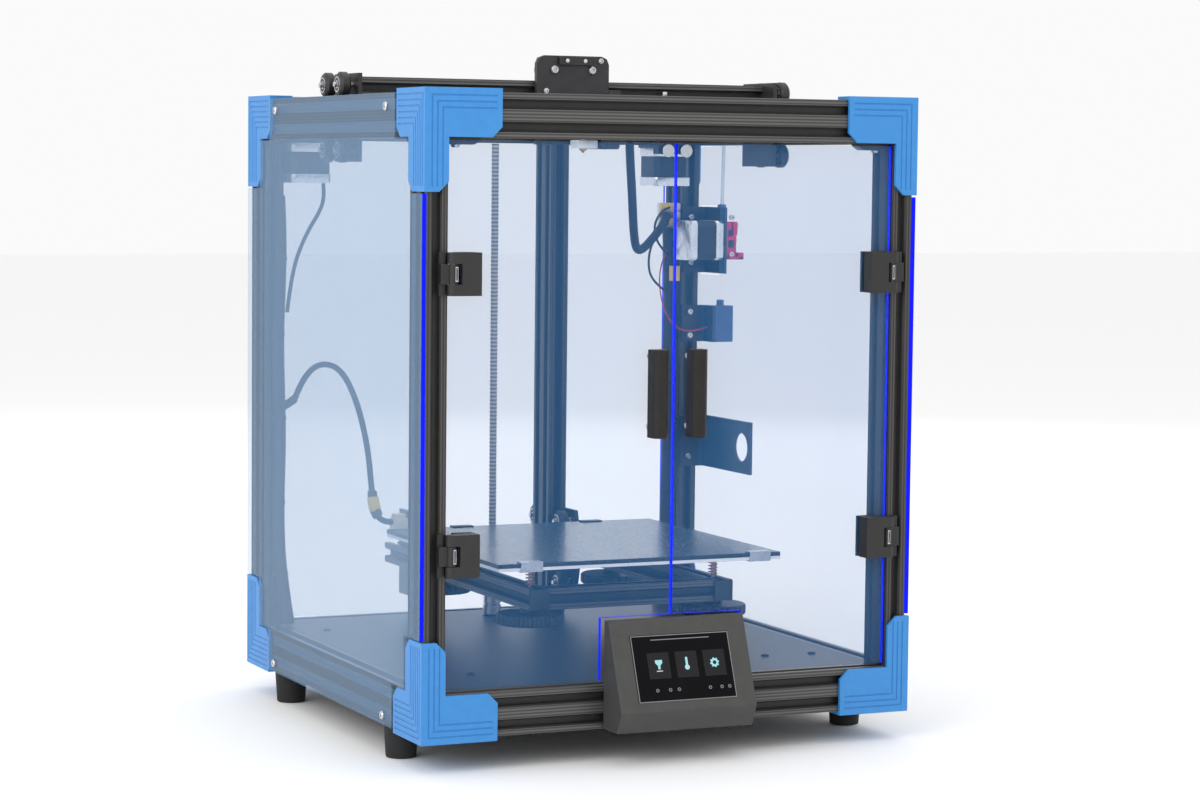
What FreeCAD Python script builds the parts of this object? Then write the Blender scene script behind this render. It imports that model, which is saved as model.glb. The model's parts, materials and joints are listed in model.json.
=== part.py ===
"""Enclosed desktop fdm printer: an extrusion frame with two belt-driven top axes and a lifting bed.

The frame stands on the plane Z = 0, centred on X = Y = 0. X points right, Y points back.
Every length is in millimetres.
"""
import FreeCAD, Part
import math
import os
import re
import Sketcher

doc = FreeCAD.newDocument("FdmPrinter")

# ---------------------------------------------------------------- driving dimensions
SIZES = {
    # frame of slotted extrusions
    "frame_width": 486,
    "frame_depth": 488,
    "frame_height": 601,
    "frame_bottom": 30,
    "bar_width": 20,
    "bar_depth": 40,
    "slot_mouth": 9.16,
    "slot_throat": 6.2,
    "slot_lip": 1.8,
    "slot_room": 11,
    "slot_depth": 6.1,
    # outer panels and doors
    "panel_thickness": 4.5,
    "panel_gap": 1.5,
    "door_inset": 3,
    "door_gap": 1.2,
    "door_clearance": 2,
    "catch_gap": 0.5,
    "hinge_pin_radius": 2,
    "hinge_height": 38,
    "hinge_eye_radius": 4.5,
    "hinge_setback": 3,
    "hinge_reach": 6,
    "hinge_length": 25,
    "hinge_upper_drop": 117,
    "hinge_lower_height": 194,
    "handle_height": 80,
    "handle_width": 15,
    "handle_reach": 17,
    "handle_bottom": 293,
    "handle_offset": 12,
    # corner covers
    "cover_wall": 3.5,
    "cover_front_arm": 73,
    "cover_side_arm": 70,
    "cover_arm_height": 43,
    "cover_leg": 91,
    "cover_front_leg_width": 23,
    "cover_side_leg_width": 40,
    "cover_chamfer": 9,
    "groove_width": 1.2,
    "groove_depth": 0.8,
    # feet, floor and mains inlet
    "inlet_x": 101,
    "inlet_width": 48,
    "inlet_height": 28,
    "inlet_bottom": 36,
    "foot_radius": 16,
    "foot_tip_radius": 14,
    "foot_spread": 155,
    "plate_thickness": 2,
    "gusset_thickness": 6,
    "gusset_width": 12,
    # bed and its lift
    "bed_size": 290,
    "bed_centre": -33,
    "bed_top": 174.4,
    "bed_tab_inset": 11,
    "bed_tab_width": 14,
    "bed_tab_depth": 22,
    "bed_plug_height": 17.6,
    "glass_thickness": 4,
    "heater_thickness": 3,
    "bed_beam_top": 147,
    "bed_frame_half_width": 105,
    "bed_frame_front": -157,
    "bed_bar": 20,
    "level_front": -135,
    "level_rear": 95,
    "level_screw_radius": 2,
    "knob_radius": 32,
    "knob_height": 10,
    "knob_top": 122,
    "knob_scallops": 24,
    "spring_radius": 4.5,
    "lift_post_spread": 70,
    "lift_spacer": 4,
    "lift_wheel_upper": 168,
    "lift_wheel_lower": 104,
    "lift_plate_top": 180,
    "lift_plate_thickness": 4,
    "screw_radius": 4,
    "screw_end_gap": 1,
    "screw_y": 187,
    # wheels
    "wheel_radius": 12,
    "wheel_width": 10.2,
    "wheel_crest": 5.9,
    "wheel_bore": 2.5,
    "wheel_sink": 1.25,
    "running_clearance": 0.05,
    "seat_clearance": 0.3,
    # gantry
    "beam_drop": 1,
    "beam_y": 22,
    "beam_end_setback": 15,
    "wheel_pitch": 41,
    "carriage_plate_thickness": 4,
    # head
    "head_x": 5,
    "head_plate_width": 77,
    "head_plate_rise": 44.5,
    "head_plate_drop": 42,
    "head_plate_thickness": 6,
    "head_wheel_pitch": 40,
    "nozzle_x": 6,
    "nozzle_y": -20,
    "nozzle_drop": 49.8,
    # motors, pulleys and belts
    "motor_size": 42,
    "motor_length": 40,
    "motor_inset": 1,
    "shaft_radius": 2.5,
    "pulley_radius": 6.4,
    "pulley_flange": 8,
    "belt_width": 6,
    "belt_thickness": 1.4,
    "belt_lift": 4,
    "belt_spacing": 9,
    "idler_y": -205,
    "idler_pin_radius": 1.9,
    # screen box
    "screen_left": -69,
    "screen_right": 67,
    "screen_top": 129,
    "screen_nose": 40,
    # accessories on the right rear post
    "spool_plate_bottom": 218,
    "spool_plate_height": 55,
    "spool_plate_reach": 113,
    "spool_hole_radius": 15,
    "spool_hole_inset": 21,
    "sheet_thickness": 3,
    "feeder_drop": 100,
    "feeder_thickness": 12,
    "sensor_bottom": 352,
    "sensor_height": 39,
}

# ---------------------------------------------------------------- places worked out from them
PLACES = {
    "half_width": "frame_width / 2",
    "half_depth": "frame_depth / 2",
    "post_inner_x": "half_width - bar_width",
    "post_inner_y": "half_depth - bar_depth",
    "beam_inner_y": "half_depth - bar_width",
    "top_beam_bottom": "frame_height - bar_depth",
    "base_beam_top": "frame_bottom + bar_depth",
    "rail_x": "half_width - bar_width / 2",
    "wheel_standoff": "wheel_radius - wheel_sink",
    "foot_x": "half_width - bar_width / 2 - 3",
    "bed_rear": "bed_centre + bed_size / 2",
    "bed_tab_left": "bed_tab_inset - bed_size / 2",
    "bed_plate_top": "bed_top - glass_thickness",
    "bed_plate_bottom": "bed_plate_top - heater_thickness",
    "bed_beam_bottom": "bed_beam_top - bed_bar",
    "level_x": "bed_frame_half_width - bed_bar / 2",
    "lift_post_rear": "beam_inner_y - lift_spacer",
    "lift_post_front": "lift_post_rear - bar_depth",
    "lift_front_axle": "lift_post_front - wheel_standoff",
    "lift_rear_axle": "lift_post_rear + wheel_standoff",
    "lift_plate_front": "lift_front_axle - 18",
    "lift_cross_y": "lift_plate_front - bed_bar / 2 - seat_clearance",
    "lift_plate_inner": "bed_frame_half_width - bed_bar - lift_plate_thickness",
    "screw_top": "top_beam_bottom - screw_end_gap",
    "beam_half_length": "rail_x - beam_end_setback",
    "beam_bottom": "frame_height - beam_drop",
    "beam_top": "beam_bottom + bar_width",
    "beam_front": "beam_y - bar_width / 2",
    "beam_rear": "beam_y + bar_width / 2",
    "y_wheel_top": "frame_height + wheel_standoff",
    "y_wheel_bottom": "top_beam_bottom - wheel_standoff",
    "y_wheel_front": "beam_y - wheel_pitch / 2",
    "y_wheel_rear": "beam_y + wheel_pitch / 2",
    "x_wheel_top": "beam_top + wheel_standoff",
    "x_wheel_bottom": "beam_bottom - wheel_standoff",
    "head_left": "head_x - head_plate_width / 2",
    "head_right": "head_x + head_plate_width / 2",
    "head_plate_top": "beam_bottom + head_plate_rise",
    "head_plate_bottom": "beam_bottom - head_plate_drop",
    "nozzle_tip": "beam_bottom - nozzle_drop",
    "head_plate_rear": "beam_front - seat_clearance * 10",
    "head_plate_front": "head_plate_rear - head_plate_thickness",
    "motor_x": "post_inner_x - motor_inset - motor_size / 2",
    "motor_y": "half_depth - bar_width - motor_inset - motor_size / 2",
    "belt_level_a": "top_beam_bottom + belt_lift",
    "belt_level_b": "belt_level_a + belt_spacing",
    "belt_outer_x": "motor_x + pulley_radius",
    "belt_inner_x": "motor_x - pulley_radius",
    "idler_near_x": "belt_inner_x - pulley_radius",
    "belt_beam_y": "beam_front + 2",
    "idler_near_y": "belt_beam_y + pulley_radius",
    "idler_far_y": "belt_beam_y - pulley_radius",
    "panel_outer_x": "half_width + panel_thickness",
    "panel_outer_y": "half_depth + panel_thickness",
    "cover_outer_x": "half_width + cover_wall",
    "cover_outer_y": "half_depth + cover_wall",
    "cover_top": "frame_height + cover_wall",
    "cover_middle_z": "(frame_height + frame_bottom) / 2",
    "door_front": "-half_depth + door_inset",
    "door_back": "door_front + panel_thickness",
    "door_outer_x": "post_inner_x - 1",
    "door_bottom": "base_beam_top + door_clearance + 1",
    "door_top": "top_beam_bottom - door_clearance",
    "hinge_upper_height": "door_top - hinge_upper_drop",
    "hinge_x": "post_inner_x - hinge_setback",
    "hinge_y": "-half_depth - hinge_reach",
    "screen_back": "-half_depth - 0.3",
    "feeder_height": "top_beam_bottom - feeder_drop",
    "bracket_x": "panel_outer_x + 2.5",
    "floor_top": "base_beam_top",
    "sink_bottom": "nozzle_tip + 15",
    "sink_top": "nozzle_tip + 34",
    "floor_bottom": "base_beam_top - plate_thickness",
}

sheet = doc.addObject("Spreadsheet::Sheet", "Sizes")
places = doc.addObject("Spreadsheet::Sheet", "Places")
CELLS = {}
WORD = re.compile(r"[a-z][a-z_0-9]*")


def formula(text):
    """Return a formula over size names as an expression that can be bound."""
    return WORD.sub(lambda found: CELLS.get(found.group(), found.group()), str(text))


def fill(table, cells, prefix):
    """Write one named cell to a row."""
    for row, (alias, content) in enumerate(cells.items(), start=1):
        table.set(f"A{row}", alias)
        table.set(f"B{row}", prefix + formula(content))
        table.setAlias(f"B{row}", alias)
        CELLS[alias] = f"{table.Name}.{alias}"


fill(sheet, SIZES, "")
doc.recompute()
fill(places, PLACES, "=")
doc.recompute()


def size(text):
    """Return a formula's value as a number."""
    result = sheet.evalExpression(formula(text))
    return float(getattr(result, "Value", result))


def bind(feature, bindings):
    """Bind each property of a feature to its formula."""
    for name, text in bindings.items():
        feature.setExpression(name, formula(text))


AXES = {
    "X": FreeCAD.Vector(1, 0, 0),
    "Y": FreeCAD.Vector(0, 1, 0),
    "Z": FreeCAD.Vector(0, 0, 1),
}
PLANES = {"XY": "Z", "XZ": "Y", "YZ": "X"}


def place(feature, x, y, z):
    """Bind where a feature's own origin lies."""
    bind(feature, {"Placement.Base.x": x, "Placement.Base.y": y, "Placement.Base.z": z})
    return feature


# ---------------------------------------------------------------- makers of simple shapes
def block(name, x0, x1, y0, y1, z0, z1):
    """Make a box between six planes."""
    box = doc.addObject("Part::Box", name)
    lengths = {
        "Length": f"({x1}) - ({x0})",
        "Width": f"({y1}) - ({y0})",
        "Height": f"({z1}) - ({z0})",
    }
    bind(box, lengths)
    return place(box, x0, y0, z0)


def rod(name, axis, radius, x, y, z, length):
    """Make a cylinder that runs along an axis from a point."""
    cylinder = doc.addObject("Part::Cylinder", name)
    turn = FreeCAD.Rotation(AXES["Z"], AXES[axis])
    cylinder.Placement = FreeCAD.Placement(FreeCAD.Vector(), turn)
    bind(cylinder, {"Radius": radius, "Height": length})
    return place(cylinder, x, y, z)


def together(name, members):
    """Keep several solids apart in one sub-part."""
    compound = doc.addObject("Part::Compound", name)
    compound.Links = members
    return compound


def fused(name, members):
    """Join touching shapes to one solid."""
    union = doc.addObject("Part::MultiFuse", name)
    union.Shapes = members
    union.Refine = True
    return union


def without(name, base, tools):
    """Cut tools away from a base."""
    difference = doc.addObject("Part::Cut", name)
    difference.Base = base
    difference.Tool = tools[0] if len(tools) == 1 else together(name + "Tools", tools)
    return difference


def mirrored(name, source, axis, centre="0"):
    """Mirror a shape in a plane that crosses an axis."""
    copy = doc.addObject("Part::Mirroring", name)
    copy.Source = source
    copy.Normal = AXES[axis]
    bind(copy, {f"Base.{axis.lower()}": centre})
    return copy


def both_sides(name, source):
    """Return a shape and its mirror image across the middle."""
    return [source, mirrored(name, source, "X")]


# ---------------------------------------------------------------- makers of sketched bodies
def sketch_in(body, plane):
    """Attach a sketch to one of a body's own origin planes."""
    sketch = body.newObject("Sketcher::SketchObject", body.Name + "Sketch")
    planes = [plane_of for plane_of in body.Origin.OriginFeatures if plane_of.Role == plane + "_Plane"]
    sketch.AttachmentSupport = [(planes[0], "")]
    sketch.MapMode = "FlatFace"
    return sketch


def hold_point(sketch, geometry, corner, u, v):
    """Tie a sketch point to the origin by two formulas."""
    for kind, text in (("DistanceX", u), ("DistanceY", v)):
        index = sketch.addConstraint(Sketcher.Constraint(kind, -1, 1, geometry, corner, size(text)))
        if WORD.search(str(text)):
            sketch.setExpression(f"Constraints[{index}]", formula(text))


def draw_outline(sketch, points):
    """Draw a closed outline of straight lines through points."""
    first = sketch.GeometryCount
    corners = [FreeCAD.Vector(size(u), size(v), 0) for u, v in points]
    for start, end in zip(corners, corners[1:] + corners[:1]):
        sketch.addGeometry(Part.LineSegment(start, end), False)
    for step, (u, v) in enumerate(points):
        before = first + (step - 1) % len(points)
        sketch.addConstraint(Sketcher.Constraint("Coincident", before, 2, first + step, 1))
        hold_point(sketch, first + step, 1, u, v)


def draw_circle(sketch, u, v, radius):
    """Draw a circle."""
    centre = FreeCAD.Vector(size(u), size(v), 0)
    ring = sketch.addGeometry(Part.Circle(centre, AXES["Z"], size(radius)), False)
    hold_point(sketch, ring, 3, u, v)
    index = sketch.addConstraint(Sketcher.Constraint("Radius", ring, size(radius)))
    if WORD.search(str(radius)):
        sketch.setExpression(f"Constraints[{index}]", formula(radius))


def plate(name, plane, outline, start, thickness, holes=()):
    """Pad an outline with round holes from one level along the plane's upward normal."""
    body = doc.addObject("PartDesign::Body", name)
    sketch = sketch_in(body, plane)
    draw_outline(sketch, outline)
    for u, v, radius in holes:
        draw_circle(sketch, u, v, radius)
    pad = body.newObject("PartDesign::Pad", name + "Pad")
    pad.Profile = sketch
    pad.Reversed = plane == "XZ"
    pad.setExpression("Length", formula(thickness))
    body.setExpression("Placement.Base." + PLANES[plane].lower(), formula(start))
    return body


def turned(name, profile, axis="Z"):
    """Revolve an outline of (radius, height) points about an axis through the origin."""
    body = doc.addObject("PartDesign::Body", name)
    sketch = sketch_in(body, "XZ")
    draw_outline(sketch, profile)
    revolution = body.newObject("PartDesign::Revolution", name + "Turn")
    revolution.Profile = sketch
    revolution.ReferenceAxis = (sketch, ["V_Axis"])
    body.Placement = FreeCAD.Placement(FreeCAD.Vector(), FreeCAD.Rotation(AXES["Z"], AXES[axis]))
    return body


def rectangle(u0, u1, v0, v1):
    """Return a rectangle's corners."""
    return [(u0, v0), (u1, v0), (u1, v1), (u0, v1)]


# ---------------------------------------------------------------- slotted extrusions
SLOT = [
    ("-(slot_mouth) / 2", "0"),
    ("-(slot_throat) / 2", "-(slot_lip)"),
    ("-(slot_room) / 2", "-(slot_lip)"),
    ("-(slot_room) / 2", "-(slot_lip) - 1"),
    ("-(slot_throat) / 2", "-(slot_depth)"),
    ("(slot_throat) / 2", "-(slot_depth)"),
    ("(slot_room) / 2", "-(slot_lip) - 1"),
    ("(slot_room) / 2", "-(slot_lip)"),
    ("(slot_throat) / 2", "-(slot_lip)"),
    ("(slot_mouth) / 2", "0"),
]


def slotted_outline(wide, deep, wide_slots, deep_slots):
    """Return an extrusion's outline about its centre, with slots at offsets along each face."""
    outline = []
    faces = (
        (wide, deep, wide_slots, lambda a, b: (a, b)),
        (deep, wide, deep_slots, lambda a, b: (b, f"-({a})")),
        (wide, deep, wide_slots, lambda a, b: (f"-({a})", f"-({b})")),
        (deep, wide, deep_slots, lambda a, b: (f"-({b})", a)),
    )
    for along, across, offsets, turn in faces:
        outline.append(turn(f"-({along}) / 2", f"({across}) / 2"))
        for offset in offsets:
            for a, b in SLOT:
                outline.append(turn(f"({offset}) + ({a})", f"({across}) / 2 + ({b})"))
    return outline


ONE_SLOT = ["0"]
TWO_SLOTS = ["-(bar_width) / 2", "(bar_width) / 2"]
FLAT_BAR = slotted_outline("bar_depth", "bar_width", TWO_SLOTS, ONE_SLOT)
TALL_BAR = slotted_outline("bar_width", "bar_depth", ONE_SLOT, TWO_SLOTS)
SQUARE_BAR = slotted_outline("bar_width", "bar_width", ONE_SLOT, ONE_SLOT)
BED_BAR = slotted_outline("bed_bar", "bed_bar", ONE_SLOT, ONE_SLOT)


def extrusion(name, plane, outline, centre, start, length):
    """Pad a slotted outline along the plane's normal, centred on a point of that plane."""
    body = plate(name, plane, outline, start, length)
    others = [axis.lower() for axis in plane]
    for axis, text in zip(others, centre):
        body.setExpression("Placement.Base." + axis, formula(text))
    return body


# ---------------------------------------------------------------- frame
def frame():
    """Four posts, four top bars, four base bars and two lift posts."""
    posts = []
    for side, x in (("Left", "-rail_x"), ("Right", "rail_x")):
        for end, y in (("Front", "-(half_depth - bar_depth / 2)"), ("Rear", "half_depth - bar_depth / 2")):
            post = extrusion(
                f"Post{end}{side}", "XY", TALL_BAR, (x, y), "frame_bottom", "frame_height - frame_bottom"
            )
            posts.append(post)
    bars = []
    for level, z in (("Base", "frame_bottom + bar_depth / 2"), ("Top", "frame_height - bar_depth / 2")):
        for side, x in (("Left", "-rail_x"), ("Right", "rail_x")):
            bar = extrusion(
                f"Bar{level}{side}", "XZ", TALL_BAR, (x, z), "-post_inner_y", "2 * post_inner_y"
            )
            bars.append(bar)
        for end, y in (("Front", "-(half_depth - bar_width / 2)"), ("Rear", "half_depth - bar_width / 2")):
            bar = extrusion(
                f"Bar{level}{end}", "YZ", TALL_BAR, (y, z), "-post_inner_x", "2 * post_inner_x"
            )
            bars.append(bar)
    lifts = []
    for side, x in (("Left", "-lift_post_spread"), ("Right", "lift_post_spread")):
        lift = extrusion(
            f"Lift{side}",
            "XY",
            TALL_BAR,
            (x, "lift_post_front + bar_depth / 2"),
            "floor_top",
            "frame_height - floor_top",
        )
        lifts.append(lift)
    return {
        "corner_posts": together("CornerPosts", posts),
        "frame_bars": together("FrameBars", bars),
        "lift_posts": together("LiftPosts", lifts),
    }


# ---------------------------------------------------------------- corner covers
def corner_covers():
    """Eight thin shells with nested grooves: one is built, and the rest are its mirror images."""
    front = [
        ("-cover_outer_x", "cover_top"),
        ("-cover_outer_x", "cover_top - cover_leg"),
        ("-cover_outer_x + cover_front_leg_width - cover_chamfer", "cover_top - cover_leg"),
        ("-cover_outer_x + cover_front_leg_width", "cover_top - cover_leg + cover_chamfer"),
        ("-cover_outer_x + cover_front_leg_width", "cover_top - cover_arm_height"),
        ("-cover_outer_x + cover_front_arm - cover_chamfer", "cover_top - cover_arm_height"),
        ("-cover_outer_x + cover_front_arm", "cover_top - cover_arm_height + cover_chamfer"),
        ("-cover_outer_x + cover_front_arm", "cover_top"),
    ]
    side = [
        ("-cover_outer_y", "cover_top"),
        ("-cover_outer_y", "cover_top - cover_leg"),
        ("-cover_outer_y + cover_side_leg_width - cover_chamfer", "cover_top - cover_leg"),
        ("-cover_outer_y + cover_side_leg_width", "cover_top - cover_leg + cover_chamfer"),
        ("-cover_outer_y + cover_side_leg_width", "cover_top - cover_arm_height"),
        ("-cover_outer_y + cover_side_arm - cover_chamfer", "cover_top - cover_arm_height"),
        ("-cover_outer_y + cover_side_arm", "cover_top - cover_arm_height + cover_chamfer"),
        ("-cover_outer_y + cover_side_arm", "cover_top"),
    ]
    roof = [
        ("-cover_outer_x", "-cover_outer_y"),
        ("-cover_outer_x + cover_front_arm", "-cover_outer_y"),
        ("-cover_outer_x + cover_front_arm", "-cover_outer_y + cover_wall + bar_width"),
        ("-cover_outer_x + cover_wall + bar_width", "-cover_outer_y + cover_wall + bar_width"),
        ("-cover_outer_x + cover_wall + bar_width", "-cover_outer_y + cover_side_arm"),
        ("-cover_outer_x", "-cover_outer_y + cover_side_arm"),
    ]
    walls = [
        plate("CoverFront", "XZ", front, "-cover_outer_y", "cover_wall"),
        plate("CoverSide", "YZ", side, "-cover_outer_x", "cover_wall"),
        plate("CoverRoof", "XY", roof, "frame_height", "cover_wall"),
    ]
    shell = fused("CoverShell", walls)
    grooves = []
    for turn, (drop, shift) in enumerate((("6", "6.5"), ("11.5", "11.5"), ("17", "16.5"))):
        grooves += front_groove(f"FrontGroove{turn}", drop, shift)
    for turn in range(6):
        grooves += side_groove(f"SideGroove{turn}", f"5 + {turn} * 5.2", f"4.5 + {turn} * 4.4")
    grooved = without("CoverTopFrontLeft", shell, grooves)
    left = [grooved, mirrored("CoverTopRearLeft", grooved, "Y")]
    below = [mirrored(f"CoverBase{index}", cover, "Z", "cover_middle_z") for index, cover in enumerate(left)]
    left += below
    right = [mirrored(f"CoverRight{index}", cover, "X") for index, cover in enumerate(left)]
    return {"corner_covers": together("CornerCovers", left + right)}


def front_groove(name, drop, shift):
    """One L groove of the front wall: a bar along the arm and a bar down the leg."""
    skin = ("-cover_outer_y - 1", "-cover_outer_y + groove_depth")
    left = f"-cover_outer_x + {shift}"
    top = f"cover_top - {drop}"
    arm = block(
        name + "Arm", left, "-cover_outer_x + cover_front_arm - 5", *skin, f"{top} - groove_width", top
    )
    leg = block(
        name + "Leg", left, f"{left} + groove_width", *skin, "cover_top - cover_leg + 5", top
    )
    return [arm, leg]


def side_groove(name, drop, shift):
    """One L groove of the side wall."""
    skin = ("-cover_outer_x - 1", "-cover_outer_x + groove_depth")
    near = f"-cover_outer_y + {shift}"
    top = f"cover_top - ({drop})"
    arm = block(
        name + "Arm", *skin, near, "-cover_outer_y + cover_side_arm - 5", f"{top} - groove_width", top
    )
    leg = block(
        name + "Leg", *skin, near, f"{near} + groove_width", "cover_top - cover_leg + 5", top
    )
    return [arm, leg]


# ---------------------------------------------------------------- panels
def notched_panel(half):
    """Return the outline of a panel whose corners step back around the covers, about half its width."""
    arm = "cover_side_arm - (cover_outer_y - half_depth) + panel_gap"
    leg = "cover_side_leg_width - (cover_outer_y - half_depth) + panel_gap"
    top = "frame_height"
    high = "cover_top - cover_arm_height - panel_gap"
    low_high = "cover_top - cover_leg - panel_gap"
    base = "frame_bottom"
    low = "frame_bottom - cover_wall + cover_arm_height + panel_gap"
    high_low = "frame_bottom - cover_wall + cover_leg + panel_gap"
    return [
        (f"-({half}) + {arm}", base),
        (f"{half} - ({arm})", base),
        (f"{half} - ({arm})", low),
        (f"{half} - ({leg})", low),
        (f"{half} - ({leg})", high_low),
        (half, high_low),
        (half, low_high),
        (f"{half} - ({leg})", low_high),
        (f"{half} - ({leg})", high),
        (f"{half} - ({arm})", high),
        (f"{half} - ({arm})", top),
        (f"-({half}) + {arm}", top),
        (f"-({half}) + {arm}", high),
        (f"-({half}) + {leg}", high),
        (f"-({half}) + {leg}", low_high),
        (f"-({half})", low_high),
        (f"-({half})", high_low),
        (f"-({half}) + {leg}", high_low),
        (f"-({half}) + {leg}", low),
        (f"-({half}) + {arm}", low),
    ]


def rear_outline():
    """Return the rear panel's outline, stepped back around the covers' narrower rear legs."""
    arm = "cover_front_arm - cover_wall + panel_gap"
    leg = "cover_front_leg_width - cover_wall + panel_gap"
    high = "cover_top - cover_arm_height - panel_gap"
    low = "frame_bottom - cover_wall + cover_arm_height + panel_gap"
    right = [
        (f"half_width - ({arm})", "frame_bottom"),
        (f"half_width - ({arm})", low),
        (f"half_width - ({leg})", low),
        (f"half_width - ({leg})", high),
        (f"half_width - ({arm})", high),
        (f"half_width - ({arm})", "frame_height"),
    ]
    left = [(f"-({u})", v) for u, v in reversed(right)]
    return right + left


def panels():
    """Acrylic side and rear panels screwed to the outside of the frame."""
    left = plate("PanelLeft", "YZ", notched_panel("half_depth"), "-panel_outer_x", "panel_thickness")
    right = plate("PanelRightBlank", "YZ", notched_panel("half_depth"), "half_width", "panel_thickness")
    passes = []
    reach = ("half_width - 5", "panel_outer_x + 5")
    deep = ("post_inner_y - sheet_thickness - 2", "post_inner_y + 2")
    spans = {
        "Spool": (*deep, "spool_plate_bottom - 2", "spool_plate_bottom + spool_plate_height + 2"),
        "Sensor": (*deep, "sensor_bottom - 2", "sensor_bottom + sensor_height + 2"),
        "Feeder": (
            "post_inner_y - motor_size - 8", "post_inner_y + 2", "feeder_height - 37", "feeder_height + 37"
        ),
    }
    for name, (y0, y1, z0, z1) in spans.items():
        passes.append(block("Pass" + name, *reach, y0, y1, z0, z1))
    rear = plate("PanelRearBlank", "XZ", rear_outline(), "half_depth", "panel_thickness")
    room = "inlet_width / 2 + seat_clearance"
    inlet_pass = block(
        "PassInlet", f"-inlet_x - ({room})", f"-inlet_x + {room}", "half_depth - 1", "panel_outer_y + 1",
        "inlet_bottom - seat_clearance", "inlet_bottom + inlet_height + seat_clearance",
    )
    sides = [left, without("PanelRight", right, passes)]
    return {
        "side_panels": together("SidePanels", sides),
        "rear_panel": without("PanelRear", rear, [inlet_pass]),
    }


def screw_head(name, axis, outward, x, y, z, radius="4", height="2.6"):
    """Make a low round screw head with a hexagon socket, seated at a point and pointing outward."""
    deep = f"{height} * 0.6"
    profile = [
        ("0", "0"),
        (radius, "0"),
        (radius, f"{height} * 0.55"),
        (f"{radius} * 0.78", height),
        (f"{radius} * 0.4", height),
        (f"{radius} * 0.4", f"{height} - {deep}"),
        ("0", f"{height} - {deep}"),
    ]
    head = turned(name, profile)
    way = AXES[axis] * outward
    head.Placement = FreeCAD.Placement(FreeCAD.Vector(), FreeCAD.Rotation(AXES["Z"], way))
    return place(head, x, y, z)


def frame_screws():
    """Silver screws that hold the outer panels and the top corner plates."""
    heads = []
    for side, sign in (("Left", -1), ("Right", 1)):
        for end, y in (("Front", "-foot_spread"), ("Rear", "foot_spread")):
            for level, z in (("Base", "frame_bottom + 9"), ("Top", "frame_height - 12")):
                name = f"PanelScrew{level}{end}{side}"
                x = f"{sign} * panel_outer_x"
                heads.append(screw_head(name, "X", sign, x, y, z))
        for level, z in (("Base", "frame_bottom + 9"), ("Top", "frame_height - 12")):
            name = f"RearScrew{level}{side}"
            heads.append(screw_head(name, "Y", 1, f"{sign} * 150", "panel_outer_y", z))
        x = f"{sign} * (post_inner_x - 12)"
        z = "top_beam_bottom - gusset_thickness"
        heads.append(screw_head(f"GussetScrew{side}", "Z", -1, x, "-beam_inner_y - gusset_width / 2", z))
    return {"frame_screws": together("FrameScrews", heads)}


# ---------------------------------------------------------------- base
def base():
    """Floor plate, bottom cover, feet and what the base holds."""
    fit = "seat_clearance"
    floor_outline = rectangle(
        f"-post_inner_x + {fit}", f"post_inner_x - {fit}", f"-beam_inner_y + {fit}", f"beam_inner_y - {fit}"
    )
    opening = [("0", "screw_y", "screw_radius + 6")]
    floor = plate("FloorPlate", "XY", floor_outline, "floor_bottom", "plate_thickness", opening)
    bottom = plate("BottomPlate", "XY", floor_outline, "frame_bottom", "plate_thickness")
    feet = []
    profile = [
        ("0", "0"),
        ("foot_tip_radius", "0"),
        ("foot_radius", "frame_bottom"),
        ("0", "frame_bottom"),
    ]
    for side, x in (("Left", "-foot_x"), ("Right", "foot_x")):
        for end, y in (("Front", "-foot_spread"), ("Rear", "foot_spread")):
            feet.append(place(turned(f"Foot{end}{side}", profile), x, y, "0"))
    deck = "frame_bottom + plate_thickness"
    supply = block("PowerSupply", "-190", "-75", "-160", "55", deck, "floor_bottom - 2")
    board = block("Mainboard", "60", "160", "-130", "-40", f"{deck} + 6", f"{deck} + 7.6")
    chips = [
        block("BoardHeatSink", "80", "130", "-110", "-90", f"{deck} + 7.6", f"{deck} + 16"),
        block("BoardSockets", "62", "70", "-125", "-45", f"{deck} + 7.6", f"{deck} + 17"),
    ]
    legs = []
    for index, (x, y) in enumerate((("65", "-125"), ("155", "-125"), ("65", "-45"), ("155", "-45"))):
        legs.append(rod(f"BoardLeg{index}", "Z", "2.5", x, y, deck, "6"))
    inlet_faces = ("-inlet_x - inlet_width / 2", "-inlet_x + inlet_width / 2")
    inlet = without(
        "MainsInlet",
        block(
            "InletBody", *inlet_faces, "half_depth", "panel_outer_y + 2", "inlet_bottom",
            "inlet_bottom + inlet_height",
        ),
        [
            block(
                "InletSocket", "-inlet_x - 13", "-inlet_x + 13", "half_depth + 1.5", "panel_outer_y + 3",
                "inlet_bottom + 5", "inlet_bottom + 23",
            )
        ],
    )
    return {
        "base_plates": together("BasePlates", [floor, bottom]),
        "feet": together("Feet", feet),
        "electronics": together("Electronics", [supply, fused("ControlBoard", [board] + chips + legs)]),
        "mains_inlet": inlet,
    }


def corner_fittings():
    """Plates under the top bars, the spacers behind the lift posts and the doorway's catch."""
    under = "top_beam_bottom - gusset_thickness"
    outline = [
        ("-post_inner_x", "top_beam_bottom"),
        ("-post_inner_x", under),
        ("-post_inner_x + 28", under),
        ("-post_inner_x + 34", "top_beam_bottom - 2"),
        ("-post_inner_x + 34", "top_beam_bottom"),
    ]
    front = plate("GussetFrontLeft", "XZ", outline, "-beam_inner_y - gusset_width", "gusset_width")
    gussets = both_sides("GussetFrontRight", front)
    spacer = block(
        "LiftPostSpacerRight", "lift_post_spread - bar_width / 2", "lift_post_spread + bar_width / 2",
        "lift_post_rear", "beam_inner_y", "top_beam_bottom", "frame_height",
    )
    gussets += both_sides("LiftPostSpacerLeft", spacer)
    catch = block(
        "DoorCatch", "-16", "16", "door_back + catch_gap", "-beam_inner_y",
        "top_beam_bottom - 12", "top_beam_bottom",
    )
    return gussets + [catch]


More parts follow.
